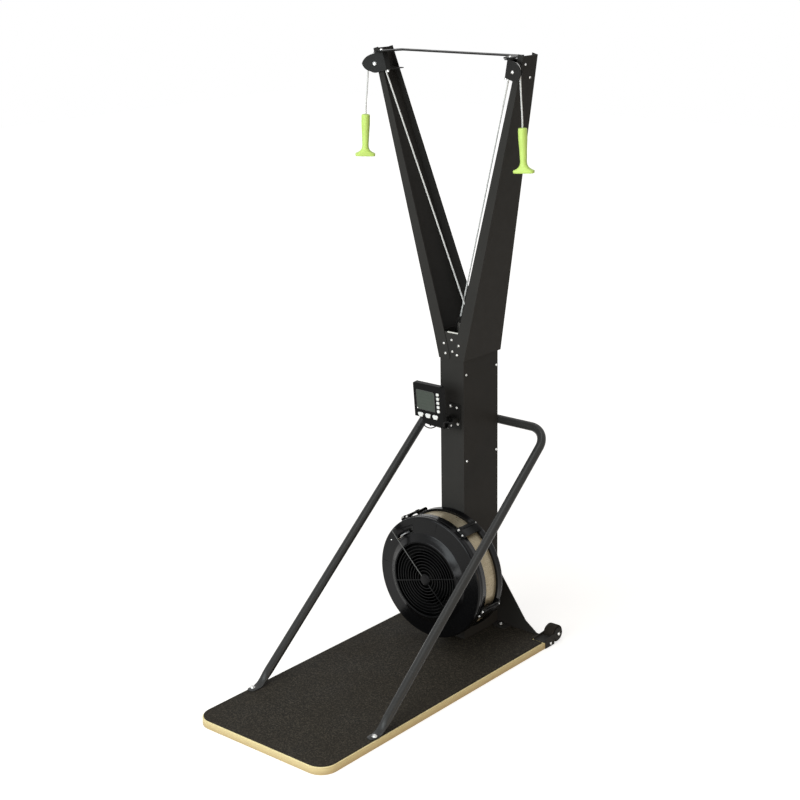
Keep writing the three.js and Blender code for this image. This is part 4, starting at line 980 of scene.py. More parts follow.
class Finishes:
    """Every finish of the machine, made once."""

    def __init__(self) -> None:
        """Makes the materials."""
        self.black_paint = PowderCoat(
            "Black powder coat", tone(51, 50, 48), tone(59, 57, 55), level=0.03).material()
        self.satin_paint = PowderCoat(
            "Satin bracket coat", tone(34, 34, 33), tone(46, 44, 42), 0.36, 0.06).material()
        self.grey_paint = PowderCoat(
            "Grey tube coat", tone(50, 50, 49), tone(60, 59, 58), 0.24, 0.16).material()
        self.dark_plastic = MouldedPlastic(
            "Dark fan plastic", tone(8, 8, 9), tone(18, 18, 18), 0.18, 0.00001, 0.17).material()
        self.inner_plastic = MouldedPlastic(
            "Dark inner plastic", tone(8, 8, 8), tone(14, 14, 14), 0.4, level=0.03).material()
        self.clamp_plastic = MouldedPlastic(
            "Black clamp plastic", tone(11, 11, 11), tone(20, 20, 19), 0.2, level=0.12).material()
        self.case_plastic = MouldedPlastic(
            "Gloss case plastic", tone(16, 16, 16), tone(24, 24, 23), 0.22, 0.00001,
            0.06).material()
        self.case_line = MouldedPlastic(
            "Worn grey line", tone(92, 92, 90), tone(110, 109, 106), 0.3, 0.00002).material()
        self.pulley_plastic = MouldedPlastic(
            "Pulley nylon", tone(30, 29, 28), tone(54, 52, 49), 0.36).material()
        self.lime_plastic = MouldedPlastic(
            "Lime handle plastic", tone(196, 225, 112), tone(204, 229, 136), 0.4, 0.00003,
            0.35).material()
        self.white_keys = MouldedPlastic(
            "White key rubber", tone(236, 236, 232), tone(206, 206, 200), 0.45,
            level=0.3).material()
        self.white_nylon = MouldedPlastic(
            "White guide nylon", tone(214, 212, 204), tone(176, 174, 166), 0.4,
            level=0.3).material()
        self.bright_steel = BareMetal(
            "Bright plated steel", tone(222, 222, 220), tone(170, 168, 162), 0.22).material()
        self.plain_steel = BareMetal(
            "Plain plated steel", tone(140, 138, 132), tone(104, 100, 92), 0.36).material()
        self.light_alloy = BareMetal(
            "Cast light alloy", tone(160, 161, 162), tone(136, 134, 130), 0.45,
            metallic=0.3, brushed=(1.0, 8.0, 1.0)).material()
        self.oiled_steel = BareMetal(
            "Oiled steel", tone(44, 43, 41), tone(34, 32, 30), 0.42, metallic=0.6).material()
        self.band_metal = BareMetal(
            "Perforated band metal", tone(186, 173, 146), tone(156, 142, 112), 0.3,
            metallic=0.55, stained=0.35).material()
        # Pale and dark wood, then the glue lines' colour, which is also the painted shade at the
        # board's lower edge
        self.birch_ply = BirchPly(
            "Birch plywood", tone(242, 226, 172), tone(216, 194, 138),
            tone(160, 128, 82)).material()
        self.rubber_mat = SpeckledRubber(
            "Speckled rubber mat", tone(22, 20, 16), tone(82, 76, 65),
            tone(58, 53, 46)).material()
        self.black_rubber = SpeckledRubber(
            "Black rubber", tone(34, 31, 27), tone(46, 43, 39), tone(54, 49, 43)).material()
        # White strands, then the painted shade in the braid's grooves, which grime also turns
        # towards
        self.white_cord = BraidedCord(
            "White braided cord", tone(246, 246, 243), tone(206, 205, 200),
            math.pi * CORD_DIAMETER).material()
        self.liquid_crystal = LiquidCrystal(
            "Liquid crystal", tone(72, 78, 71), tone(52, 58, 52)).material()


# Studio


def direct_rays(tree: bpy.types.NodeTree) -> Socket:
    """One for rays of the camera, of gloss and through glass, else zero.

    Args:
        tree: The node tree that gets the nodes.

    Returns:
        The socket.
    """
    path = tree.nodes.new("ShaderNodeLightPath")
    direct = path.outputs["Is Camera Ray"]
    for kind in ("Is Glossy Ray", "Is Transmission Ray"):
        larger = tree.nodes.new("ShaderNodeMath")
        larger.operation = "MAXIMUM"
        tree.links.new(direct, larger.inputs[0])
        tree.links.new(path.outputs[kind], larger.inputs[1])
        direct = larger.outputs[0]
    return direct


@dataclass
class Studio:
    """Floor, background, lamps and the camera at the picture's angle."""

    camera_place: Triple = (3.4687, -3.9678, 2.6310)
    heading: float = math.radians(40.52)
    pitch: float = math.radians(16.82)
    roll: float = math.radians(-0.96)
    lens: float = 73.36
    floor_half: float = 14.0
    ambient: float = 0.24

    def camera(self) -> None:
        """Places the camera.

        It looks along (-sin h cos p, cos h cos p, -sin p), turned by the roll.
        """
        h, p, r = self.heading, self.pitch, self.roll
        ahead = np.array([-math.sin(h) * math.cos(p), math.cos(h) * math.cos(p), -math.sin(p)])
        right = np.array([math.cos(h), math.sin(h), 0.0])
        upward = np.cross(right, ahead)
        turned_right = math.cos(r) * right + math.sin(r) * upward
        turned_up = -math.sin(r) * right + math.cos(r) * upward
        data = bpy.data.cameras.new("Camera")
        data.lens = self.lens
        data.sensor_width = 36.0
        data.clip_end = 60.0
        camera = bpy.data.objects.new("Camera", data)
        matrix = np.eye(4)
        matrix[:3, :3] = np.column_stack([turned_right, turned_up, -ahead])
        matrix[:3, 3] = self.camera_place
        camera.matrix_world = Matrix(matrix.tolist())
        bpy.context.scene.collection.objects.link(camera)
        bpy.context.scene.camera = camera

    def world(self) -> None:
        """A world that is white to the camera, in gloss and through glass, and softer as light."""
        world = bpy.data.worlds.new("Studio")
        world.use_nodes = True
        nodes, links = world.node_tree.nodes, world.node_tree.links
        shader = nodes["Background"]
        strength = nodes.new("ShaderNodeMapRange")
        strength.inputs["To Min"].default_value = self.ambient
        strength.inputs["To Max"].default_value = 1.0
        links.new(direct_rays(world.node_tree), strength.inputs["Value"])
        links.new(strength.outputs["Result"], shader.inputs["Strength"])
        shader.inputs["Color"].default_value = (1.0, 1.0, 1.0, 1.0)
        bpy.context.scene.world = world

    def floor(self) -> None:
        """A pale floor that keeps the shadow; to the camera and in gloss it glows a little."""
        half = self.floor_half
        points = np.column_stack([box_corners(0.0, 0.0, half, half), np.full(4, -0.0004)])
        mesh = bpy.data.meshes.new("Floor")
        mesh.from_pydata(points.tolist(), [], [[0, 1, 2, 3]])
        s = NodeSheet("Pale floor")
        grain = s.noise(3.0, 3.0, 0.5)
        colour = s.mixed(s.ranged(grain, 0.0, 1.0), tone(198, 193, 186), tone(200, 195, 188))
        away = s.add("ShaderNodeVectorMath", {0: s.place}, operation="LENGTH").outputs["Value"]
        glow = s.ranged(away, 0.72, 0.95, 1.0, 5.0)
        s.feed(
            Base_Color=colour, Roughness=0.9, Specular_IOR_Level=0.1,
            Emission_Color=(1.0, 1.0, 1.0, 1.0),
            Emission_Strength=s.math("MULTIPLY", direct_rays(s.tree), glow),
        )
        mesh.materials.append(s.material)
        floor = bpy.data.objects.new("Floor", mesh)
        bpy.context.scene.collection.objects.link(floor)

    def lamp(
        self, name: str, place: Sequence[float], target: Sequence[float],
        size: Pair, power: float, tint: Sequence[float] = (1.0, 1.0, 1.0),
    ) -> None:
        """A soft lamp.

        Args:
            name: Its name.
            place: Where it stands.
            target: What it looks at.
            size: Its width and height.
            power: Its power in watts.
            tint: Its colour.
        """
        data = bpy.data.lights.new(name, "AREA")
        data.shape = "RECTANGLE"
        data.size, data.size_y = size
        data.energy = power
        data.color = tuple(tint)
        lamp = bpy.data.objects.new(name, data)
        lamp.location = Vector(place)
        aim = Vector(target) - Vector(place)
        lamp.rotation_euler = aim.to_track_quat("-Z", "Y").to_euler()
        bpy.context.scene.collection.objects.link(lamp)

    def build(self) -> None:
        """Sets up everything that isn't part of the machine."""
        bpy.context.scene.view_settings.view_transform = "Standard"
        self.camera()
        self.world()
        self.floor()
        self.lamp("Key lamp", (-0.4, -4.2, 2.3), (0.0, 0.0, 0.9), (4.4, 1.9), 168.0,
                  (0.90, 0.97, 1.0))
        self.lamp("Fill lamp", (3.2, -0.4, 0.5), (0.2, 0.0, 0.4), (2.2, 0.7), 14.0,
                  (1.0, 0.76, 0.48))
        self.lamp("Low lamp", (1.95, -4.1, 0.6), (0.0, -0.2, 0.4), (2.2, 0.9), 30.0,
                  (0.95, 0.98, 1.0))
        self.lamp("Top lamp", (0.4, -0.5, 5.0), (0.3, -0.3, 0.6), (2.4, 4.4), 72.0)


# Small fasteners, each worked out about its own seat with the head towards +Z


@dataclass(frozen=True)
class Bolt:
    """A bolt head on its washer.

    Attributes:
        radius: Half the width across the head's corners, or the button head's radius.
        height: The head's height over the washer.
        washer: The washer's radius, or zero for none.
        socket: Whether it is a round head with a hexagon socket instead of a hexagon head.
    """

    radius: float = 0.0065
    height: float = 0.004
    washer: float = 0.0085
    socket: bool = False

    def surface(self) -> Surface:
        """The bolt's surface.

        A hexagon head is a profile of rings whose radius is that of a hexagon; a button head
        is a quarter ellipse turned about the axis with a six-sided well in it.

        Returns:
            The surface.
        """
        shapes = []
        seat = 0.0
        if self.washer > 0.0:
            w, thick = self.washer, 0.0012
            ring = [(0.0, -0.0005), (w, -0.0005), (w, thick * 0.7), (w - 0.0004, thick),
                    (0.0, thick)]
            shapes.append((ring, 28))
            seat = thick
        r, h = self.radius, self.height
        if self.socket:
            angle = np.linspace(0.0, math.pi / 2, 6)
            dome = np.column_stack([r * np.cos(angle) ** 0.8, seat + h * np.sin(angle)])
            dome = dome[dome[:, 0] > r * 0.56]
            head = [(r, seat - 0.0004), *dome.tolist(), (r * 0.52, seat + h)]
            well = [(r * 0.52, seat + h), (r * 0.48, seat + h * 0.9), (r * 0.46, seat + h * 0.35),
                    (0.0, seat + h * 0.3)]
            rim = [(r * 0.56, seat + h * 0.985), (r * 0.5, seat + h * 0.985)]
            shapes += [(head, 24), (well, 6), (rim, 24)]
        else:
            head = [(r, seat - 0.0004), (r, seat + h * 0.82), (r * 0.88, seat + h),
                    (0.0, seat + h)]
            shapes.append((head, 6))
        return together(*(turned(rows, (0, 0, 0), Z_AXIS, sides) for rows, sides in shapes))

    def rest_on(self, places: Rows, normals: np.ndarray) -> Surface:
        """Copies of the bolt on several seats.

        Args:
            places: The seats' centres.
            normals: The way all heads point, or a row for each.

        Returns:
            All of them in one surface.
        """
        spots = np.asarray(places, float)
        heads = np.broadcast_to(np.asarray(normals, float), spots.shape)
        asides = np.where(np.abs(heads[:, 2:]) > 0.8, X_AXIS, Z_AXIS)
        third = unit(heads)
        first = unit(asides - third * (asides * third).sum(1, keepdims=True))
        turns = np.stack([first, np.cross(third, first), third], axis=2)
        return copies(self.surface(), spots, turns)


# Cords


def arc_points(
    centre: Sequence[float], radius: float, first: np.ndarray, second: np.ndarray,
    start: float, end: float, count: int,
) -> np.ndarray:
    """Points of an arc: centre + radius * (cos t * first + sin t * second).

    Args:
        centre: The arc's centre.
        radius: Its radius.
        first: The direction at angle zero.
        second: The direction at a quarter turn.
        start: The first angle.
        end: The last angle.
        count: How many points, both ends included.

    Returns:
        Array (count, 3).
    """
    angle = np.linspace(start, end, count)[:, None]
    return np.asarray(centre, float) + radius * (np.cos(angle) * first + np.sin(angle) * second)


@dataclass
class Cords:
    """The white cords of both sides, the return cords in the column and the display's cable."""

    finishes: Finishes
    end_gap: float = 0.0003
    wrap: float = math.radians(120.0)
    return_diameter: float = 0.008
    return_top: Pair = (-0.043, 1.1097)
    return_low: Pair = (-DRUM_PITCH, SHAFT_Z)
    cable_diameter: float = 0.0042

    def angles(self, side: Side) -> Triple:
        """The angles at which the cord leaves its top pulley, guide pulley and drop.

        Each is the angle of a line that touches two circles: the bearing of one centre from
        the other, less the angle whose sine is a radius over the distance.

        Args:
            side: The side of the machine.

        Returns:
            The angles at the top pulley, at the guide pulley and of the drop.
        """
        guide = top = math.atan(1.0 / 3.0)
        for _ in range(8):
            reach = (PULLEY_AXLE[0] + GUIDE_PITCH * math.cos(guide)) / math.cos(HEAD_TURN)
            drop = PULLEY_AXLE[2] - GUIDE_Z - GUIDE_PITCH * math.sin(guide)
            top = math.atan2(reach, drop) - math.asin(TOP_PITCH / math.hypot(reach, drop))
            guide = math.atan(math.tan(top) * math.cos(HEAD_TURN))
        total = DRUM_PITCH + side.value * GUIDE_PITCH
        return top, guide, math.asin(total / (GUIDE_Z - SHAFT_Z))

    def held_line(self, side: Side) -> np.ndarray:
        """The held cord's line over the top pulley, down round the guide and onto the drum.

        Args:
            side: The side of the machine.

        Returns:
            Its points.
        """
        top, guide, drop = self.angles(side)
        sign = side.value
        flip = np.array([sign, 1.0, 1.0])
        y = CORD_PLANE_Y[side]
        over = arc_points(PULLEY_AXLE * flip, TOP_PITCH, HEAD_OUT * flip, Z_AXIS, 0.0,
                          math.pi - top, 40)
        start, end = (math.pi - guide, math.pi + drop) if sign > 0 else (guide, drop)
        round_guide = arc_points((0.0, y, GUIDE_Z), GUIDE_PITCH, X_AXIS, Z_AXIS, start, end, 12)
        on_drum = arc_points((0.0, y, SHAFT_Z), DRUM_PITCH, X_AXIS, Z_AXIS, drop,
                             drop - self.wrap, 28)
        share = np.linspace(0.0, 1.0, 60)[1:-1, None]
        first = over[-1] * (1 - share) + round_guide[0] * share
        second = round_guide[-1] * (1 - share) + on_drum[0] * share
        return np.vstack([over, first, round_guide, second, on_drum])

    def free_line(self, side: Side) -> np.ndarray:
        """The free cord's line from the pulley's outer side down into the handle.

        Args:
            side: The side of the machine.

        Returns:
            Its points.
        """
        start = PULLEY_AXLE + HEAD_OUT * TOP_PITCH - Z_AXIS * self.end_gap
        end = HANDLE_TOP + Z_AXIS * self.end_gap
        shares = np.array([
            [0.0, 0.0, 0.0], [0.02, 0.02, 0.08], [0.12, 0.12, 0.22], [0.3, 0.3, 0.38],
            [0.5, 0.5, 0.53], [0.7, 0.7, 0.68], [0.88, 0.88, 0.84], [1.0, 1.0, 1.0],
        ])
        line = smooth_line(start + shares * (end - start), 36)
        return line * np.array([side.value, 1.0, 1.0])

    def build_side(self, side: Side) -> None:
        """Builds one side's held, free and return cord.

        Args:
            side: The side of the machine.
        """
        name = side.word
        braid = self.finishes.white_cord
        ring = circle(CORD_DIAMETER / 2.0, 16)
        held = carried(self.held_line(side), ring, Y_AXIS)
        make_piece(f"{name}_drive_cord_braid", held, braid, "frame",
                   [f"{name}_drive_cord"], smooth=60.0)
        line = self.free_line(side)
        free = make_piece(f"{name}_hanging_cord_braid", carried(line, ring, Y_AXIS), braid,
                          "", smooth=60.0)
        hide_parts(f"{name}_hanging_cord")
        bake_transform(free)
        y = CORD_PLANE_Y[side]
        share = np.linspace(0.0, 1.0, 24)[:, None]
        high = np.array([self.return_top[0], y, self.return_top[1]])
        low = np.array([self.return_low[0], y, self.return_low[1]])
        elastic = carried(high * (1 - share) + low * share,
                          circle(self.return_diameter / 2.0, 14), Y_AXIS)
        make_piece(f"{name}_return_elastic", elastic, self.finishes.black_rubber, "frame",
                   [f"{name}_return_cord"], smooth=60.0)

    def build_cable(self) -> None:
        """Builds the display's short cable, a loop from the case to the lift arm."""
        steps = np.array([
            [-51.4, -28, 10.4], [-54, -28, 9], [-57.4, -28, 5.4], [-58.8, -28, 0],
            [-57.6, -27.8, -5.5], [-53, -27.4, -10.6], [-45, -27, -14.2], [-35, -26.4, -15.6],
            [-25, -24.6, -14.6], [-17, -21.6, -11.6], [-10, -17.4, -7.2], [-6, -13.4, -3.2],
            [-4, -9.8, 0],
        ]) / 1000.0
        line = smooth_line(TILT_HINGE + steps @ DISPLAY_LEAN.T, 44)
        tube = carried(line, circle(self.cable_diameter / 2.0, 12), Y_AXIS)
        cable = make_piece("monitor_cable_loop", tube, self.finishes.clamp_plastic,
                           "monitor_head", ["monitor_cable"], smooth=60.0)

    def build(self) -> None:
        """Builds every cord."""
        for side in Side:
            self.build_side(side)
        self.build_cable()


# Deck and stand


@dataclass
class Deck:
    """Plywood board with a speckled mat on it."""

    finishes: Finishes
    half_width: float = 0.295
    front_y: float = back(0.0)
    rear_y: float = back(1.250)
    thickness: float = 0.028
    front_corner: float = 0.062
    rear_corner: float = 0.014
    mat_inset: float = 0.004
    notch_x: float = 0.2429
    notch_y: float = back(1.190)

    def board(self) -> Surface:
        """The board: a rounded outline made thick.

        Returns:
            The board.
        """
        w, f, r = self.half_width, self.front_y, self.rear_y
        radii = [self.front_corner] * 2 + [self.rear_corner] * 2
        return slab(rounded(oblong(-w, w, f, r), radii, 14), 0.0, self.thickness)

    def mat(self) -> Surface:
        """The mat: the board's outline moved in, with a notch at each rear corner.

        Returns:
            The mat.
        """
        i = self.mat_inset
        w, f, r = self.half_width - i, self.front_y + i, self.rear_y - i
        n, y = self.notch_x, self.notch_y
        corners = [(-w, f), (w, f), (w, y), (n, y), (n, r), (-n, r), (-n, y), (-w, y)]
        radii = [self.front_corner - i] * 2 + [0.003, 0.002, 0.004, 0.004, 0.002, 0.003]
        return slab(rounded(corners, radii, 14), self.thickness, MAT_TOP)

    def build(self) -> None:
        """Builds the board and the mat."""
        make_piece("deck_board_ply", self.board(), self.finishes.birch_ply, "frame",
                   ["deck_board"], Edge(0.0028, 4))
        make_piece("deck_mat_rubber", self.mat(), self.finishes.rubber_mat, "frame",
                   ["deck_mat"], Edge(0.0009, 2))


@dataclass
class Stand:
    """Bent support tube with flattened feet, its saddle and the plate behind the column."""

    finishes: Finishes
    radius: float = 0.016
    foot: Triple = (0.277, back(0.287), MAT_TOP)
    corner: Triple = (0.267, back(1.2523), 0.831)
    bend_radius: float = 0.078
    flat_half: float = 0.0165
    flat_thick: float = 0.005
    flat_front_y: float = back(0.2389)
    flat_length: float = 0.045
    round_from: float = 0.028
    turn_above: float = 0.030
    turn_ahead: float = 0.016
    plate_rear_y: float = back(1.2383)
    saddle_rear_y: float = back(1.2743)

    def tube_line(self) -> tuple[np.ndarray, np.ndarray, np.ndarray]:
        """The tube's middle line, the scale of its section and the tube's own plane.

        The leg runs straight down from the bend, turns level above the mat and ends in the
        flat tongue. There the section goes from round to flat by a smooth step, and its end
        narrows like a half circle.

        Returns:
            The line, the section's two scales at each point, and the plane's normal.
        """
        foot, corner = np.array(self.foot), np.array(self.corner)
        down = unit(foot - corner)
        inward = -X_AXIS
        half = math.acos(float(down @ inward)) / 2.0
        set_back = self.bend_radius / math.tan(half)
        centre = corner + unit(down + inward) * self.bend_radius / math.sin(half)
        first = corner + down * set_back - centre
        last = corner + inward * set_back - centre
        swing = math.pi - 2.0 * half
        share = np.linspace(0.0, 1.0, 30)[:, None]
        bend = centre + between(first, last, swing, share)
        level_z = MAT_TOP + self.flat_thick / 2.0
        share_down = (bend[0][2] - level_z) / -down[2]
        knee = bend[0] + down * share_down
        ahead = unit(np.array([down[0] * 0.2, -1.0, 0.0]))
        reach = (knee[1] - self.flat_front_y) / -ahead[1]
        part = np.linspace(0.0, 1.0, 14)[:, None]
        start, end = knee - down * self.turn_above, knee + ahead * self.turn_ahead
        turn = (1 - part) ** 2 * start + 2 * part * (1 - part) * knee + part**2 * end
        tip = knee + ahead * reach
        flat = tip + (end - tip) * np.linspace(0.0, 1.0, 24)[:, None] ** 1.6
        leg = np.linspace(0.0, 1.0, 70)[1:, None]
        straight = start + (bend[0] - start) * leg
        line = np.vstack([flat[:-1], turn[::-1], straight[:-1], bend])
        away = np.linalg.norm(line - tip, axis=1)
        pressed = float(np.linalg.norm(start - tip)) + self.round_from - self.flat_length
        step = np.clip((away - self.flat_length) / pressed, 0.0, 1.0)
        step = step * step * (3.0 - 2.0 * step)
        wide = self.flat_half / self.radius
        thin = self.flat_thick / (2.0 * self.radius)
        bow = np.clip(away / self.flat_half, 0.0, 1.0)
        tip_scale = np.sqrt(np.clip(1.0 - (1.0 - bow) ** 2, 0.02, 1.0))
        size = np.column_stack([(wide + (1 - wide) * step) * tip_scale, thin + (1 - thin) * step])
        size[len(line) - len(bend):] = 1.0
        flip = np.array([-1.0, 1.0, 1.0])
        whole = np.vstack([line, (line * flip)[::-1]])
        return whole, np.vstack([size, size[::-1]]), unit(np.cross(down, inward))

    def tube(self) -> Surface:
        """The tube: a circle carried along its line, pressed flat at both feet."""
        line, size, normal = self.tube_line()
        return carried(line, circle(self.radius, 40), normal, size)

    def build(self) -> None:
        """Builds the tube and dresses what carries it."""
        f = self.finishes
        make_piece("support_tube_bent", self.tube(), f.grey_paint, "frame",
                   ["support_tube"], smooth=60.0)
        dress_solid("support_saddle", f.black_paint, 0.0016)
        dress_solid("rear_plate", f.black_paint, 0.0007)
        bolt = Bolt(0.0068, 0.0048, 0.0092)
        feet = [(s * 0.282, back(0.262), MAT_TOP + self.flat_thick) for s in (1, -1)]
        tabs = [(s * 0.079, back(1.221), MAT_TOP + 0.004) for s in (1, -1)]
        level = bolt.rest_on(feet + tabs, Z_AXIS)
        plate_at = ((0.072, 0.210), (0.034, 0.075), (0.034, 0.150))
        plate = [(s * x, self.plate_rear_y, z) for x, z in plate_at for s in (1, -1)]
        saddle = [(0.0, self.saddle_rear_y, z) for z in (0.809, 0.853)]
        upright = Bolt(0.006, 0.004, 0.008).rest_on(plate + saddle, Y_AXIS)
        make_bolts("stand_bolts", together(level, upright), f.bright_steel)


@dataclass
class TransportWheels:
    """The rollers at the rear corners of the deck, with their brackets."""

    finishes: Finishes
    radius: float = 0.032
    inner_x: float = 0.2531
    outer_x: float = 0.2941
    centre: Pair = (back(1.284), 0.034)
    bore: float = 0.0054
    outer_face: float = 0.2983

    def roller(self) -> Surface:
        """The roller: a profile with a crowned tread and a stepped hub, turned about X.

        Returns:
            The roller.
        """
        r, low, high = self.radius, self.inner_x, self.outer_x
        profile = [
            (self.bore, low + 0.001), (0.010, low + 0.001), (0.011, low + 0.0025),
            (0.024, low + 0.003), (0.0255, low + 0.0005), (r - 0.003, low),
            (r - 0.001, low + 0.0012), (r, low + 0.005), (r, high - 0.005),
            (r - 0.001, high - 0.0012), (r - 0.003, high), (0.0255, high - 0.0005),
            (0.024, high - 0.003), (0.011, high - 0.0025), (0.010, high - 0.001),
            (self.bore, high - 0.001),
        ]
        return turned(profile, (0.0, *self.centre), X_AXIS, 72, closed=True)

    def build(self) -> None:
        """Builds the rollers and the bolts, and dresses the brackets."""
        f = self.finishes
        axle = Bolt(0.006, 0.0045, 0.0, True)
        tab = Bolt(0.0052, 0.0035, 0.0, True)
        y, z = self.centre
        for side in Side:
            name = side.word
            make_piece(f"{name}_transport_roller", self.roller().for_side(side), f.black_rubber,
                       f"{name}_transport_wheel_body",
                       [f"{name}_transport_wheel"], Edge(0.0004, 2))
            dress_solid(f"{name}_wheel_bracket", f.black_paint, 0.0006)
            heads = together(
                axle.rest_on([(self.outer_face + 0.0015, y, z)], X_AXIS),
                axle.rest_on([(self.inner_x - 0.0057, y, z)], -X_AXIS),
                tab.rest_on([(self.outer_face, back(1.236), 0.013)], X_AXIS),
            )
            make_bolts(f"{name}_wheel_bolts", heads.for_side(side), f.bright_steel)


@dataclass
class Column:
    """The folded column with its back cover, bearings and the cord guide on its top edge."""

    finishes: Finishes
    half_width: float = 0.0525
    front_y: float = back(1.034)
    rear_y: float = back(1.234)
    top_z: float = 1.197
    foot_y: float = back(1.0312)
    trim_x: Pair = (-0.018, 0.029)
    trim_thick: float = 0.0012

    def trim(self) -> Surface:
        """The white nylon trim over the front plate's top edge: a thin U carried along X.

        Returns:
            The trim.
        """
        thick = self.trim_thick
        y0, y1, z1 = self.front_y - thick, self.front_y + 3 * thick, self.top_z + thick
        section = [(y0, z1 - 0.004), (y0, z1), (y1, z1), (y1, z1 - 0.006)]
        inner = [(y1 - thick, z1 - 0.006), (y1 - thick, z1 - thick), (y0 + thick, z1 - thick),
                 (y0 + thick, z1 - 0.004)]
        outline = np.array(section + inner)
        columns = np.column_stack([Y_AXIS, Z_AXIS, X_AXIS])
        return slab(outline, *self.trim_x, columns)

    def build(self) -> None:
        """Dresses the column and builds its bolts and its trim."""
        f = self.finishes
        dress_solid("column_shell", f.black_paint, 0.0014)
        dress_solid("column_back_cover", f.black_paint, 0.0007)
        for name in ("front_bearing", "rear_bearing_carrier", "fan_shaft"):
            dress_solid(name, f.oiled_steel, 0.0005)
        dress_solid("guide_bracket", f.plain_steel, 0.0006)
        dress_solid("guide_axle", f.bright_steel, 0.0004)
        bolt = Bolt(0.0050, 0.0034, 0.0, True)
        side_places = [(1.049, 1.046), (1.225, 1.045), (1.225, 0.723), (1.051, 0.724)]
        seats = [(self.half_width, back(y), z) for y, z in side_places]
        sides = bolt.rest_on(seats, X_AXIS)
        front = [(0.0, self.front_y, 1.169), (0.003, self.front_y, 1.127)]
        feet_at = ((0.033, 1.153), (0.026, 1.118))
        feet = [(s * x, self.foot_y, z) for s in (1, -1) for x, z in feet_at]
        face = bolt.rest_on(front + feet, -Y_AXIS)
        cover = [(s * 0.044, self.rear_y, z) for s in (1, -1) for z in (0.30, 0.60, 0.93, 1.16)]
        rear = Bolt(0.004, 0.0022, 0.0, True).rest_on(cover, Y_AXIS)
        make_bolts("column_bolts", together(sides, sides.mirrored(), face, rear),
                   f.bright_steel)
        make_piece("column_top_trim", self.trim(), f.white_nylon, "frame",
                   edge=Edge(0.0004, 2))


# Arms, pulley heads and handles


@dataclass
class PulleyShape:
    """A grooved pulley; sizes in metres about its own axis."""

    pitch: float
    width: float
    bore: float
    cord_radius: float = CORD_DIAMETER / 2.0
    seat_gap: float = 0.0005
    flange_rise: float = 0.0034
    rim: float = 0.0018

    def profile(self) -> list[Pair]:
        """The turned loop: bore, hub boss, dished web, rim and a round-bottomed groove.

        Returns:
            Rows of radius and place along the axis.
        """
        half = self.width / 2.0
        groove = self.pitch - self.cord_radius - self.seat_gap
        rim = self.pitch + self.flange_rise
        floor = self.cord_radius + self.seat_gap
        angle = np.linspace(-math.pi / 2, math.pi / 2, 9)
        dip = [(groove + floor * (1 - math.cos(a)), floor * math.sin(a)) for a in angle]
        hub, web = self.bore + 0.0055, rim - 0.0065
        depth = half * 0.3
        one = [(self.bore, -half), (hub, -half), (hub + 0.0008, -half + depth),
               (web - 0.0008, -half + depth), (web, -half), (rim - 0.0006, -half),
               (rim, -half + 0.0006), (rim, self.rim - half)]
        other = [(r, -y) for r, y in reversed(one)]
        return [*one, *dip, *other]

    def surface(self, centre: Sequence[float], axis: np.ndarray) -> Surface:
        """The pulley in its place."""
        return turned(self.profile(), centre, axis, 80, closed=True)


@dataclass
class PulleyHeads:
    """Arm tops: brackets, axle bolts, pulleys and the brace between them."""

    finishes: Finishes
    cheek_front: float = -0.011
    head_radius: float = 0.0052
    head_height: float = 0.004
    arm_foot: Pair = (0.0553, 1.098)
    arm_slope: float = 0.2478
    arm_thick: float = 0.003
    shank: float = 0.005
    pulley: PulleyShape = field(default_factory=lambda: PulleyShape(TOP_PITCH, 0.014, 0.0053))

    def build(self) -> None:
        """Builds the pulleys and bolts and dresses the arms, brackets and brace."""
        f = self.finishes
        tail_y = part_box("right_pulley_axle")[1].y
        reach = (tail_y - PULLEY_AXLE[1] - self.shank * HEAD_BACK[0]) / HEAD_BACK[1]
        shank = [(0.0, self.cheek_front), (self.shank, self.cheek_front),
                 (self.shank, reach - 0.0006), (self.shank - 0.0006, reach), (0.0, reach)]
        for side in Side:
            name = side.word
            dress_solid(f"{name}_arm", f.black_paint, 0.0009)
            dress_solid(f"{name}_pulley_bracket", f.satin_paint, 0.0006)
            wheel = self.pulley.surface(PULLEY_AXLE, HEAD_BACK).for_side(side)
            make_piece(f"{name}_top_pulley_grooved", wheel, f.pulley_plastic,
                       f"{name}_top_pulley_body", [f"{name}_top_pulley"],
                       FINE_ROUND)
            head_at = PULLEY_AXLE + HEAD_BACK * self.cheek_front
            head = Bolt(self.head_radius, self.head_height, self.head_radius + 0.001, True)
            bolt = together(turned(shank, PULLEY_AXLE, HEAD_BACK, 28),
                            head.rest_on([head_at], -HEAD_BACK))
            make_piece(f"{name}_axle_bolt", bolt.for_side(side), f.bright_steel, "frame",
                       [f"{name}_pulley_axle"], FINE_ROUND)
        dress_solid("cross_brace", f.satin_paint, 0.0007)
        self.bolts()

    def bolts(self) -> None:
        """Builds the bolts of the brace, of the arm webs and of the brackets."""
        brace_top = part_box("cross_brace")[1].z
        top = [(s * 0.275, back(1.002), brace_top) for s in (1, -1)]
        level = Bolt(0.0046, 0.0030, 0.0060).rest_on(top, Z_AXIS)
        web = unit(np.array([1.0, 0.0, -self.arm_slope]))
        x0, z0 = self.arm_foot
        spots = np.array([(x0 + self.arm_slope * (z - z0), back(y), z)
                          for y, z in ((1.034, 2.138), (1.074, 2.093))])
        outer = Bolt(0.0046, 0.0030, 0.0, True).rest_on(spots, web)
        inner = Bolt(0.0048, 0.0036, 0.0).rest_on(spots - web * self.arm_thick, -web)
        fold = Bolt(0.0042, 0.006, 0.0052).rest_on([(0.2524, back(1.0085), 2.0953)], -Z_AXIS)
        right = together(outer, inner, fold)
        make_bolts("arm_top_bolts", together(level, right, right.mirrored()),
                   self.finishes.bright_steel)


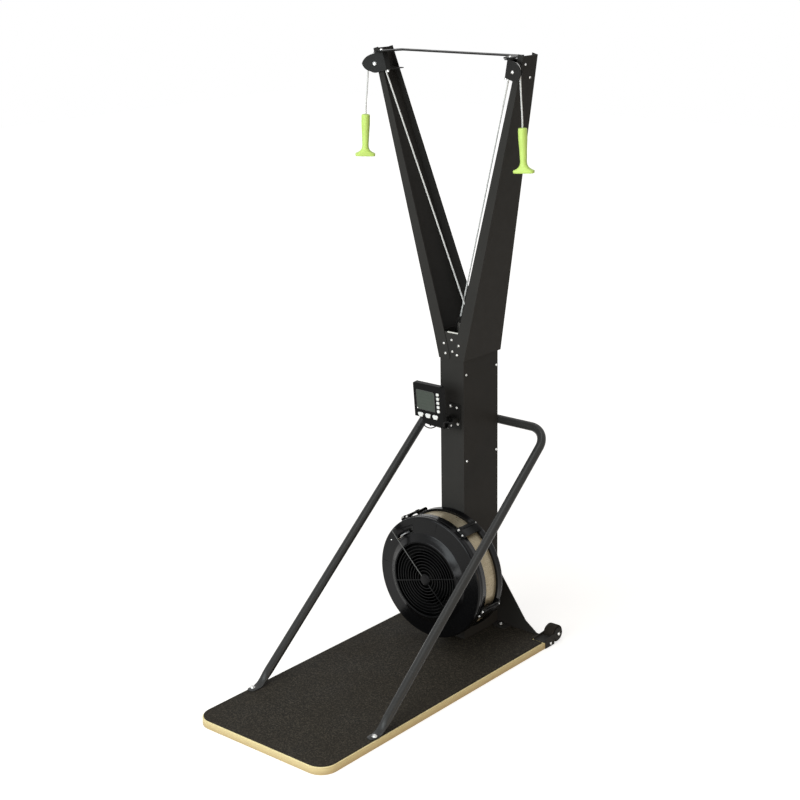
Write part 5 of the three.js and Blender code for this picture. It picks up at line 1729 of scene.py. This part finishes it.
@dataclass
class Handles:
    """The lime handles: a round grip that flares into a flat foot with rounded corners."""

    finishes: Finishes
    length: float = 0.146
    lean: float = math.radians(2.5)
    bore: float = 0.0036
    turns: dict[Side, float] = field(default_factory=lambda: {
        Side.RIGHT: math.radians(18.5), Side.LEFT: math.radians(-40.5)})

    def rows(self) -> np.ndarray:
        """Rows of the way down, half width, half depth and corner power, in metres.

        The body and the flare are smooth lines through measured rows; the shoulder above and
        the foot's edges below are small arcs.

        Returns:
            Array (n, 4).
        """
        body = np.array([
            [4.4, 14.9, 14.9, 1.0], [8.0, 15.0, 15.0, 1.0], [18.0, 15.0, 15.0, 1.0],
            [29.2, 15.0, 15.0, 1.0], [44.0, 14.4, 14.2, 1.0], [58.0, 13.5, 12.6, 1.0],
            [73.0, 12.7, 11.6, 1.0], [94.0, 11.9, 11.5, 1.0], [112.0, 11.6, 11.5, 1.0],
            [120.0, 13.4, 11.8, 0.92], [126.1, 17.1, 13.1, 0.8], [131.5, 23.3, 14.0, 0.62],
            [134.6, 29.0, 14.5, 0.52], [136.6, 33.6, 14.7, 0.46],
        ])
        scale = np.array([1.0, 1.0, 1.0, 10.0])
        smooth = smooth_line(body * scale, 80) / scale
        shoulder = np.array([[1.5, 3.6, 3.6, 1.0], [0.5, 4.4, 4.4, 1.0], [0.0, 6.0, 6.0, 1.0],
                             [0.0, 10.4, 10.4, 1.0], [0.5, 12.3, 12.3, 1.0],
                             [2.0, 14.0, 14.0, 1.0]])
        foot = np.array([[137.4, 34.8, 14.9, 0.45], [138.6, 35.0, 15.0, 0.45],
                         [144.2, 35.0, 15.0, 0.45], [145.4, 34.4, 14.5, 0.45],
                         [146.0, 33.4, 13.6, 0.45]])
        return np.vstack([shoulder, smooth, foot]) * np.array([1e-3, 1e-3, 1e-3, 1.0])

    def surface(self, turn: float) -> Surface:
        """One handle, turned about its own length and leaning outwards.

        A row's outline is (half width * c^power, half depth * s^power), where c and s are the
        cosine and sine with their signs kept, so a small power squares the corners. The cord's
        bore goes on down from the shoulder, and the sole is dished a little.

        Args:
            turn: How far it is turned about its own length.

        Returns:
            The surface.
        """
        bore = np.array([[0.030, 0.0, 0.0, 1.0], [0.030, self.bore, self.bore, 1.0],
                         [0.0016, self.bore, self.bore, 1.0]])
        sole = np.array([[self.length - 0.0006, 0.028, 0.0095, 0.5],
                         [self.length - 0.0012, 0.012, 0.004, 0.7],
                         [self.length - 0.0014, 0.0, 0.0, 1.0]])
        rows = np.vstack([bore, self.rows(), sole])
        angle = (TAU * np.arange(96) / 96)[None]
        cosine, sine = np.cos(angle), np.sin(angle)
        power = rows[:, 3:4]
        x = rows[:, 1:2] * np.sign(cosine) * np.abs(cosine) ** power
        y = rows[:, 2:3] * np.sign(sine) * np.abs(sine) ** power
        z = np.broadcast_to(-rows[:, :1], x.shape)
        c, s = math.cos(turn), math.sin(turn)
        x, y = x * c - y * s, x * s + y * c
        c, s = math.cos(self.lean), math.sin(self.lean)
        points = np.stack([x * c - z * s, y, x * s + z * c], axis=2)
        return lattice(points + HANDLE_TOP, ring_columns=True)

    def build(self) -> None:
        """Builds both handles."""
        for side in Side:
            name = side.word
            handle = self.surface(self.turns[side]).for_side(side)
            make_piece(f"{name}_handle_grip", handle, self.finishes.lime_plastic,
                       f"{name}_handle_body", [f"{name}_handle"], smooth=50.0)


@dataclass
class Drive:
    """Guide pulleys in the column's top and drums on the fan's shaft."""

    finishes: Finishes
    guide: PulleyShape = field(default_factory=lambda: PulleyShape(GUIDE_PITCH, 0.013, 0.0053))
    drum: PulleyShape = field(default_factory=lambda: PulleyShape(
        DRUM_PITCH, 0.013, 0.0082, 0.004, 0.0005, 0.0034, 0.0016))

    def build(self) -> None:
        """Builds the guide pulleys and the drums."""
        f = self.finishes
        for side in Side:
            name = side.word
            y = CORD_PLANE_Y[side]
            guide = self.guide.surface((0.0, y, GUIDE_Z), Y_AXIS)
            make_piece(f"{name}_guide_pulley_grooved", guide, f.pulley_plastic,
                       f"{name}_guide_pulley_body", [f"{name}_guide_pulley"],
                       FINE_ROUND)
            drum = self.drum.surface((0.0, y, SHAFT_Z), Y_AXIS)
            make_piece(f"{name}_drive_drum_turned", drum, f.plain_steel,
                       f"{name}_drive_drum_body", [f"{name}_drive_drum"],
                       FINE_ROUND)


# Fan


@dataclass
class Fan:
    """The fan: two shrouds, a grille, a perforated band, clamps, damper ring and wheel."""

    finishes: Finishes
    radius: float = 0.228
    rim_y: float = back(0.893)
    rim_round: float = 0.007
    front_back_y: float = back(0.935)
    ring_radius: float = 0.1675
    ring_y: float = back(0.887)
    grille_radius: float = 0.141
    grille_y: float = back(0.870)
    grille_depth: float = 0.005
    wall: float = 0.0022
    hub_radius: float = 0.022
    ring_count: int = 9
    bar: float = 0.003
    spokes: tuple[float, ...] = (15.0, 135.0, 195.0, 315.0)
    spoke_width: float = 0.004
    band_radius: float = 0.2185
    hole_pitch: float = 0.005
    hole_radius: float = 0.0017
    rear_front_y: float = back(1.003)
    rear_back_y: float = back(1.0337)
    clamp_angles: tuple[float, ...] = (57.0, 123.0, 202.0, 338.0)
    clamp_y: Pair = (back(0.914), back(1.020))
    clamp_half: float = 0.021
    clamp_rise: float = 0.0112
    slot_radius: float = 0.181
    slot_angle: float = math.radians(126.0)
    slot_half: float = math.radians(13.5)
    slot_width: float = 0.0058
    wheel_radius: float = 0.2045
    wheel_y: Pair = (back(0.925), back(0.983))
    wheel_hub: float = 0.028
    blade_count: int = 12
    blade_radii: Pair = (0.102, 0.202)
    blade_lead: float = 0.05
    blade_half: float = 0.0012
    rib_angles: tuple[float, ...] = (20.0, 80.0, 175.0, 235.0, 305.0)
    # Radii of the dark ring put in the shroud's mouth as painted shade
    shade_ring_radii: Pair = (0.1438, 0.1454)
    shaft_hole: float = 0.0303
    damper_y: float = back(0.900)
    damper_radii: Pair = (0.100, 0.158)
    damper_thick: float = 0.002
    arm_half: float = 0.005
    lever_front_y: float = back(0.878)
    lever_half: float = math.radians(5.0)

    @property
    def middle(self) -> np.ndarray:
        """The origin of the fan's axis, in the plane of Y zero."""
        return np.array([0.0, 0.0, SHAFT_Z])

    def at(self, radius: np.ndarray | float, angle: np.ndarray | float,
           y: np.ndarray | float) -> np.ndarray:
        """Places about the axis: (radius * cos, y, radius * sin) over the axis' height."""
        r, a, h = np.broadcast_arrays(*(np.asarray(v, float) for v in (radius, angle, y)))
        return np.stack([r * np.cos(a), h, SHAFT_Z + r * np.sin(a)], axis=-1)

    def swung(self, loop: Rows, start: float, end: float,
              steps: int) -> Surface:
        """A closed loop of radius and Y swung about the axis from one angle to another.

        Args:
            loop: The loop's points.
            start: The first angle.
            end: The last angle.
            steps: Parts along the arc.

        Returns:
            The surface, with a flat face on each end.
        """
        rows = np.asarray(loop, float)
        angle = np.linspace(start, end, steps + 1)[:, None]
        points = self.at(rows[None, :, 0], angle, rows[None, :, 1])
        return capped(lattice(points, ring_columns=True), len(rows))

    def spun(self, loop: Rows, sides: int) -> Surface:
        """A closed loop of radius and Y turned once round the axis."""
        return turned(loop, self.middle, Y_AXIS, sides, closed=True)

    def front_profile(self) -> np.ndarray:
        """The front shroud's outer profile of radius and Y, from the back rim to the grille.

        Returns:
            Rows of radius and Y.
        """
        angle = np.linspace(0.0, math.pi / 2, 8)
        rim = [(self.radius - self.rim_round * (1 - math.cos(a)),
                self.rim_y + self.rim_round * (1 - math.sin(a))) for a in angle]
        step = self.rim_y + self.rim_round + 0.011
        wall = [(self.radius, self.front_back_y), (self.radius, step + 0.0012),
                (self.radius - 0.0012, step)]
        ring = [(self.ring_radius + 0.040, self.ring_y + 0.0046),
                (self.slot_radius + self.slot_width / 2, self.ring_y + 0.0016),
                (self.slot_radius - self.slot_width / 2, self.ring_y + 0.0008),
                (self.ring_radius + 0.003, self.ring_y + 0.0002)]
        hole = self.grille_radius + 0.0003
        cone = [(self.ring_radius, self.ring_y - 0.0006),
                (self.ring_radius - 0.0022, self.ring_y - 0.0021),
                (self.ring_radius - 0.009, self.ring_y - 0.0064),
                (self.ring_radius - 0.017, self.ring_y - 0.0116),
                (hole + 0.0042, self.grille_y + 0.0014), (hole + 0.0026, self.grille_y + 0.0002),
                (hole + 0.0012, self.grille_y), (hole, self.grille_y + 0.0012),
                (hole, self.grille_y + self.grille_depth)]
        return np.array([*wall, *rim, *ring, *cone])

    def front_shroud(self) -> Surface:
        """The front shroud: its profile turned about the axis, open along the lever's slot.

        The rows that lie on the slot's two edges and the columns on its ends are grid lines,
        and the cells between them are left out.

        Returns:
            The shroud's outer skin.
        """
        rows = self.front_profile()
        base = np.linspace(0.0, TAU, 145)[:-1]
        ends = np.array([self.slot_angle - self.slot_half, self.slot_angle + self.slot_half])
        near = np.abs(base[:, None] - ends[None]).argmin(0)
        angle = base.copy()
        angle[near] = ends
        points = self.at(rows[:, None, 0], angle[None], rows[:, None, 1])
        skin = lattice(points, ring_columns=True)
        row_at = np.repeat(np.arange(len(rows) - 1), len(angle))
        column_at = np.tile(np.arange(len(angle)), len(rows) - 1)
        top = int(np.abs(rows[:, 0] - (self.slot_radius + self.slot_width / 2)).argmin())
        in_slot = (row_at == top) & (column_at >= near.min()) & (column_at < near.max())
        return Surface(skin.points, [skin.faces[0][~in_slot]])

    def bar_along(self, angle: float, radii: Sequence[float], heights: Sequence[float],
                  width: float, depth: float) -> Surface:
        """A flat bar laid along a radius.

        Args:
            angle: The radius' angle in degrees.
            radii: Radii of the bar's stations.
            heights: Y of the bar's middle at each.
            width: Its width round the axis.
            depth: Its depth along the axis.

        Returns:
            The bar.
        """
        path = self.at(np.asarray(radii), math.radians(angle), np.asarray(heights))
        corners = box_corners(0.0, 0.0, width / 2, depth / 2)
        return carried(path, rounded(corners, min(width, depth) * 0.2, 2), Y_AXIS)

    def wire(self) -> Surface:
        """The straight wire that runs from the hub over the grille and down to the rim.

        Returns:
            The wire.
        """
        radii = [self.hub_radius - 0.004, 0.08, 0.14, 0.2100, 0.2148, 0.2172, 0.2178]
        angles = np.radians([135.0, 134.5, 134.4, 134.3, 134.4, 134.5, 134.5])
        y = self.grille_y - 0.0022 + np.array([0.0, 0.0, 0.0, 0.0, 0.0012, 0.0050, 0.0215])
        line = smooth_line(self.at(np.array(radii), angles, y), 60)
        return carried(line, circle(0.0017, 14), np.array([0.7, 0.0, 0.7]))

    def seat(self) -> Surface:
        """A dark ring inside the shroud's mouth, ending just in front of the damper ring, put
        there as painted shade over the gap past the damper ring's edge.
        """
        (r0, r1), y0, y1 = self.shade_ring_radii, self.grille_y + 0.0062, self.ring_y + 0.0116
        return self.spun(oblong(r0, r1, y0, y1), 120)

    def mould_ribs(self) -> Surface:
        """Faint raised lines across the ring, left by the mould's parts.

        Returns:
            The ribs.
        """
        parts = [
            self.bar_along(a, [self.ring_radius + 0.006, self.radius - 0.010],
                           [self.ring_y + 0.0007, self.ring_y + 0.0054], 0.0014, 0.0012)
            for a in self.rib_angles
        ]
        return together(*parts)

    def grille(self) -> Surface:
        """Concentric rings, four spokes and a shallow domed hub.

        Returns:
            The grille.
        """
        back_y = self.grille_y + self.grille_depth
        hub = [(0.0, self.grille_y - 0.0019), (self.hub_radius * 0.6, self.grille_y - 0.0017),
               (self.hub_radius - 0.002, self.grille_y - 0.0010),
               (self.hub_radius, self.grille_y + 0.0008), (self.hub_radius, back_y),
               (0.0, back_y)]
        parts = [turned(hub, self.middle, Y_AXIS, 64)]
        span = self.grille_radius - self.bar - self.hub_radius
        gaps = self.ring_count + 1
        middles = self.hub_radius + span / gaps * np.arange(1, gaps)
        half, c = self.bar / 2.0, 0.0006
        y0, y1 = self.grille_y + 0.0012, back_y
        for radius in [*middles, self.grille_radius - half]:
            outer = radius + half
            low = self.grille_y if radius > middles[-1] + half else y0
            loop = [(radius - half, low + c), (radius - half + c, low), (outer - c, low),
                    (outer, low + c), (outer, y1), (radius - half, y1)]
            parts.append(self.spun(loop, 120))
        for angle in self.spokes:
            radii = [self.hub_radius * 0.7, self.grille_radius - 0.001]
            y = self.grille_y + 0.0019
            parts.append(self.bar_along(angle, radii, [y, y], self.spoke_width, 0.0028))
        return together(*parts)

    def band(self) -> Surface:
        """The perforated band.

        It is laid out flat in staggered square cells and bent round the drum: angle = way
        round / radius. A cell is a square of eight corners about a hole of eight corners, and
        the hole's wall goes in by the sheet's thickness.

        Returns:
            The band.
        """
        r, y0, y1 = self.band_radius, self.front_back_y - 0.0046, self.rear_front_y + 0.0046
        low, high = self.front_back_y + 0.0015, self.rear_front_y - 0.0015
        rows = int((high - low) / self.hole_pitch)
        pitch_y = (high - low) / rows
        count = int(TAU * r / self.hole_pitch)
        step = TAU / count
        corner = np.array([(1, 0), (1, 1), (0, 1), (-1, 1), (-1, 0), (-1, -1), (0, -1), (1, -1)])
        turn = np.arange(8) * math.pi / 4
        hole = self.hole_radius * np.column_stack([np.cos(turn), np.sin(turn)])
        frame = corner * np.array([step * r, pitch_y]) / 2.0
        cell = np.vstack([frame, hole, hole])
        depth = np.repeat([0.0, 0.0, 0.0009], 8)
        row, column = np.meshgrid(np.arange(rows), np.arange(count), indexing="ij")
        angle = (column + 0.5 * (row % 2)) * step
        y = low + (row + 0.5) * pitch_y
        around = angle[..., None] + cell[:, 0] / r
        along = y[..., None] + cell[:, 1]
        points = self.at(r - depth, around, along).reshape(-1, 3)
        i = np.arange(8)
        j = np.roll(i, -1)
        faces = np.vstack([np.column_stack([i, j, j + 8, i + 8]),
                           np.column_stack([i + 8, j + 8, j + 16, i + 16])])
        shift = 24 * np.arange(rows * count)[:, None, None]
        sheet = Surface(points, [(faces[None] + shift).reshape(-1, 4)[:, ::-1]])
        edges = [
            self.spun([(r, a), (r, b), (r - 0.0012, b), (r - 0.0012, a)], 180)
            for a, b in ((y0, low), (high, y1))
        ]
        return together(sheet, *edges)

    def rear_shroud(self) -> Surface:
        """The rear shroud: a dished disc with a stepped wall, closed towards the column.

        Returns:
            The shroud.
        """
        r, f, b, w = self.radius, self.rear_front_y, self.rear_back_y, self.wall
        hole = self.shaft_hole
        angle = np.linspace(0.0, math.pi / 2, 6)
        bend = [(r - self.rim_round * (1 - math.cos(a)), b - self.rim_round * (1 - math.sin(a)))
                for a in angle]
        outer = [(r, f), (r, f + 0.010), (r - 0.0012, f + 0.0112), *bend, (0.150, b),
                 (0.147, b - 0.0016), (0.100, b - 0.0016), (0.097, b), (hole, b)]
        inner = [(hole, b - w), (r - self.rim_round, b - w), (r - w, b - self.rim_round),
                 (r - w, f + 0.005), (self.band_radius + 0.0004, f + 0.005),
                 (self.band_radius + 0.0004, f)]
        return self.spun([*outer, *inner], 144)

    def clamp(self, angle: float) -> tuple[Surface, Surface]:
        """One clamp over the band and the hexagon screw that lies along it.

        Args:
            angle: The clamp's angle in degrees.

        Returns:
            The clamp with its rod, and the bright ends of its screws.
        """
        a, half = math.radians(angle), self.clamp_half / self.radius
        r, (y0, y1) = self.radius + 0.0003, self.clamp_y
        hook, strap, under = r + self.clamp_rise, r + 0.0096, r + 0.0042
        loop = [(r, y0), (r + 0.006, y0), (hook, y0 + 0.004), (hook, y0 + 0.020),
                (strap, y0 + 0.026), (strap, y1 - 0.026), (hook, y1 - 0.020),
                (hook, y1 - 0.004), (r + 0.006, y1), (r, y1), (r, self.rear_front_y + 0.001),
                (under, self.rear_front_y - 0.003), (under, self.front_back_y + 0.003),
                (r, self.front_back_y - 0.001)]
        body = self.swung(loop, a - half, a + half, 10)
        centre = self.at(self.radius + self.clamp_rise, a + half / 2, 0.0)
        rod = turned([(0.0, y0 + 0.002), (0.0042, y0 + 0.002), (0.0042, y0 + 0.018),
                      (0.0028, y0 + 0.019), (0.0028, y1 - 0.030), (0.0046, y1 - 0.029),
                      (0.0046, y1 - 0.012), (0.0, y1 - 0.012)], centre, Y_AXIS, 20)
        head = Bolt(0.0040, 0.0040, 0.0046).rest_on([centre + Y_AXIS * (y0 + 0.002)], -Y_AXIS)
        low = self.at(self.radius + 0.0060, a - half * 0.55, 0.0)
        nut = Bolt(0.0034, 0.0030, 0.0042).rest_on([low + Y_AXIS * (y0 + 0.0006)], -Y_AXIS)
        tail = turned([(0.0, 0.0), (0.0032, 0.0), (0.0036, 0.0012), (0.0036, 0.005),
                       (0.0, 0.005)], centre + Y_AXIS * (y1 - 0.0125), Y_AXIS, 20)
        return together(body, rod), together(head, nut, tail)

    def fan_wheel(self) -> Surface:
        """The wheel: a hub, a disc and blades.

        A blade is a thin strip whose angle leads by a square of its way out, made thick along
        Y; the other blades are the same strip turned about the axis.

        Returns:
            The wheel.
        """
        y0, y1 = self.wheel_y
        r, h = self.wheel_radius, self.wheel_hub
        hub = [(0.0082, y0), (h - 0.002, y0), (h, y0 + 0.002), (h, y1 - 0.004),
               (h + 0.006, y1 - 0.002), (r, y1 - 0.002), (r, y1), (h, y1 + 0.001),
               (h, y1 + 0.004), (0.0082, y1 + 0.004)]
        disc = self.spun(hub, 96)
        radius = np.linspace(*self.blade_radii, 10)
        lead = self.blade_lead * np.linspace(0.0, 1.0, 10) ** 2
        x, y = radius * np.cos(lead), radius * np.sin(lead)
        one = np.column_stack([x, y - self.blade_half])
        two = np.column_stack([x, y + self.blade_half])
        outline = np.vstack([one, two[::-1]])
        blade = slab(outline, -(y1 - 0.0015), -y0, FACING_FRONT)
        turn = TAU * np.arange(self.blade_count) / self.blade_count
        c, s, zero = np.cos(turn), np.sin(turn), np.zeros_like(turn)
        turns = np.stack([c, zero, -s, zero, zero + 1.0, zero, s, zero, c], 1).reshape(-1, 3, 3)
        blades = copies(blade, np.zeros((self.blade_count, 3)), turns)
        return together(disc, blades.set_at(self.middle))

    def damper(self) -> tuple[Surface, Surface]:
        """The damper ring behind the grille with its arm, and the lever in the slot.

        Returns:
            The ring with its arm, and the lever.
        """
        (r0, r1), y0, y1 = self.damper_radii, self.damper_y, self.damper_y + self.damper_thick
        ring = self.spun(oblong(r0, r1, y0, y1), 96)
        half = self.arm_half / self.slot_radius
        arm = self.swung(oblong(0.156, 0.1835, y0, y1), self.slot_angle - half,
                         self.slot_angle + half, 4)
        swing, top = self.lever_half, self.lever_front_y
        lever = self.swung([(0.1786, y1 - 0.001), (0.1788, top + 0.0008), (0.1796, top),
                            (0.1826, top), (0.1834, top + 0.0008), (0.1834, y1 - 0.001)],
                           self.slot_angle - swing, self.slot_angle + swing, 8)
        return together(ring, arm), lever

    def build(self) -> None:
        """Builds the whole fan."""
        f = self.finishes
        shroud = make_piece("fan_front_shroud_shell", self.front_shroud(), f.dark_plastic,
                            "frame", ["fan_front_shroud"], smooth=30.0)
        wall = shroud.modifiers.new("Wall", "SOLIDIFY")
        wall.thickness = self.wall
        wall.offset = -1.0
        make_piece("fan_front_shroud_ribs", self.mould_ribs(), f.dark_plastic, "frame")
        make_piece("fan_grille_wire", self.wire(), f.case_line, "frame")
        # A dark ring put in the shroud's mouth as painted shade over the gap behind the grille
        make_piece("fan_damper_seat", self.seat(), f.inner_plastic, "frame")
        make_piece("fan_grille_rings", self.grille(), f.dark_plastic, "frame",
                   ["fan_grille"])
        make_piece("fan_band_perforated", self.band(), f.band_metal, "frame",
                   ["fan_band"], outward=False)
        make_piece("fan_rear_shroud_shell", self.rear_shroud(), f.dark_plastic, "frame",
                   ["fan_rear_shroud"], smooth=30.0)
        screws = []
        for number, angle in enumerate(self.clamp_angles, 1):
            body, screw = self.clamp(angle)
            make_piece(f"fan_clamp_{number}_latch", body, f.clamp_plastic, "frame",
                       [f"fan_clamp_{number}"], Edge(0.0012, 3))
            screws.append(screw)
        spot = self.at(0.204, math.radians(149.0), self.ring_y + 0.0042)
        screws.append(Bolt(0.0028, 0.0014, 0.0, True).rest_on([spot], -Y_AXIS))
        make_bolts("fan_clamp_screws", together(*screws), f.bright_steel)
        make_piece("fan_wheel_bladed", self.fan_wheel(), f.inner_plastic, "fan_rotor",
                   ["fan_wheel"], FINE_CUT)
        ring, lever = self.damper()
        make_piece("fan_damper_ring", ring, f.inner_plastic, "damper",
                   ["fan_damper"], FINE_CUT)
        make_piece("fan_damper_lever", lever, f.light_alloy, "damper",
                   edge=FINE_CUT)


# Display


@dataclass
class Monitor:
    """The display: case, screen, keys, lift arm, knob and mount plate.

    The head's sizes are those before it leans about its hinge.
    """

    finishes: Finishes
    front_y: float = back(0.923)
    screen_centre: Pair = (-0.0245, 0.9738)
    screen_size: Pair = (0.0795, 0.0715)
    side_x: float = 0.032
    side_top_z: float = 1.0055
    side_pitch: float = 0.0156
    side_key: Pair = (0.012, 0.0105)
    menu_x: float = -0.0175
    menu_z: float = 0.9178
    menu_pitch: float = 0.033
    menu_key: Pair = (0.026, 0.016)
    key_front_y: float = back(0.9205)
    key_back_y: float = back(0.926)
    mount_y: float = back(1.0307)
    knob_x: float = 0.053

    def leaned(self, surface: Surface) -> Surface:
        """The surface turned about the hinge with the head."""
        return surface.set_at(-TILT_HINGE).set_at(TILT_HINGE, DISPLAY_LEAN)

    def plate_at(self, outline: np.ndarray, front: float, rear: float) -> Surface:
        """An outline in X and Z made thick between two places along Y, leaning with the head."""
        return self.leaned(slab(outline, -rear, -front, FACING_FRONT))

    def key(self, x: float, z: float) -> Surface:
        """One key beside the screen: a rounded outline made thick.

        Args:
            x: X of its middle.
            z: Z of its middle.

        Returns:
            The key.
        """
        w, h = np.array(self.side_key) / 2.0
        outline = rounded(box_corners(x, z, w, h), h * 0.62, 6)
        return self.plate_at(outline, self.key_front_y, self.key_back_y)

    def shield(self, x: float, z: float) -> Surface:
        """One key below the screen: a shield that narrows downwards under a bowed top.

        Args:
            x: X of its middle.
            z: Z of its middle.

        Returns:
            The key.
        """
        w, h = np.array(self.menu_key) / 2.0
        corners = [(x - w * 0.58, z - h), (x + w * 0.58, z - h), (x + w * 0.98, z + h * 0.5),
                   (x + w * 0.6, z + h), (x - w * 0.6, z + h), (x - w * 0.98, z + h * 0.5)]
        radii = [0.003, 0.003, 0.0036, 0.006, 0.006, 0.0036]
        return self.plate_at(rounded(corners, radii, 6), self.key_front_y, self.key_back_y)

    def screen(self) -> Surface:
        """The window: a rectangle whose upper right corner has a wide arc.

        Returns:
            The window.
        """
        (x, z), (w, h) = self.screen_centre, self.screen_size
        outline = rounded(box_corners(x, z, w / 2.0, h / 2.0), [0.0015, 0.0015, 0.009, 0.0015], 8)
        return self.plate_at(outline, self.front_y, self.front_y + 0.002)

    def bezel(self) -> Surface:
        """The thin raised line round the window: a small square carried round its outline.

        Returns:
            The line.
        """
        (x, z), (w, h) = self.screen_centre, self.screen_size
        corners = box_corners(x, z, w / 2.0 + 0.0012, h / 2.0 + 0.0012)
        loop = rounded(corners, [0.0025, 0.0025, 0.010, 0.0025], 8)
        middle = np.mean(corners, axis=0)
        rings = [(1.0, 0.0006), (1.0, -0.0004), (0.978, -0.0004), (0.978, 0.0006)]
        points = np.stack([
            np.column_stack([middle[0] + (loop[:, 0] - middle[0]) * share,
                             np.full(len(loop), self.front_y + y),
                             middle[1] + (loop[:, 1] - middle[1]) * share])
            for share, y in rings])
        return self.leaned(lattice(points, ring_rows=True, ring_columns=True))

    def knob_cap(self) -> Surface:
        """The bright screw end in the middle of the clamp knob."""
        spot = (self.knob_x, *TILT_HINGE[1:])
        return Bolt(0.0042, 0.0022, 0.0).rest_on([spot], X_AXIS)

    def build(self) -> None:
        """Builds the display."""
        f = self.finishes
        dress_solid("monitor_case", f.case_plastic, 0.0011)
        dress_solid("monitor_arm", f.clamp_plastic, 0.0008)
        dress_solid("monitor_mount", f.satin_paint, 0.0008)
        make_piece("monitor_screen_window", self.screen(), f.liquid_crystal, "monitor_head",
                   ["monitor_screen"], FINE_ROUND)
        make_piece("monitor_screen_bezel", self.bezel(), f.case_line, "monitor_head")
        keys = [("side", n, self.key(self.side_x, self.side_top_z - self.side_pitch * (n - 1)))
                for n in range(1, 6)]
        keys += [("menu", n, self.shield(self.menu_x + self.menu_pitch * (n - 2), self.menu_z))
                 for n in range(1, 4)]
        for kind, n, surface in keys:
            make_piece(f"{kind}_key_{n}", surface, f.white_keys, f"{kind}_button_{n}_body",
                       [f"{kind}_button_{n}"], Edge(0.0016, 4))
        (x, z), (w, h) = self.screen_centre, self.screen_size
        dot = circle(0.0024, 20) + np.array([x - w / 2.0 + 0.002, z - h / 2.0 + 0.0028])
        make_piece("monitor_corner_dot", self.plate_at(dot, self.front_y - 0.0009, self.front_y),
                   f.white_keys, "monitor_head")
        make_piece("monitor_clamp_cap", self.knob_cap(), f.bright_steel, "monitor_lift_arm",
                   edge=FINE_CUT)
        spots = [(-0.004, self.mount_y, 0.926), (0.024, self.mount_y, 0.924),
                 (0.028, self.mount_y, 0.864), (-0.012, self.mount_y, 0.864)]
        bolts = Bolt(0.0040, 0.0028, 0.0050, True).rest_on(spots, -Y_AXIS)
        make_bolts("monitor_mount_bolts", bolts, f.bright_steel)


# Everything in order


def main() -> None:
    """Loads the frame, builds every sub-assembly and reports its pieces."""
    logging.basicConfig(level=logging.INFO, format="%(message)s")
    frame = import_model()
    NODES.update(frame["nodes"])
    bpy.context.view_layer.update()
    Studio().build()
    finishes = Finishes()
    for part in (
        Cords(finishes), Deck(finishes), Column(finishes), PulleyHeads(finishes),
        Handles(finishes), Drive(finishes), Fan(finishes), Stand(finishes),
        TransportWheels(finishes), Monitor(finishes),
    ):
        known = set(bpy.data.objects.keys())
        part.build()
        for piece in sorted(set(bpy.data.objects.keys()) - known):
            log.info("%s: %s", type(part).__name__, piece)
    log.info("size written")


if __name__ == "__main__":
    main()
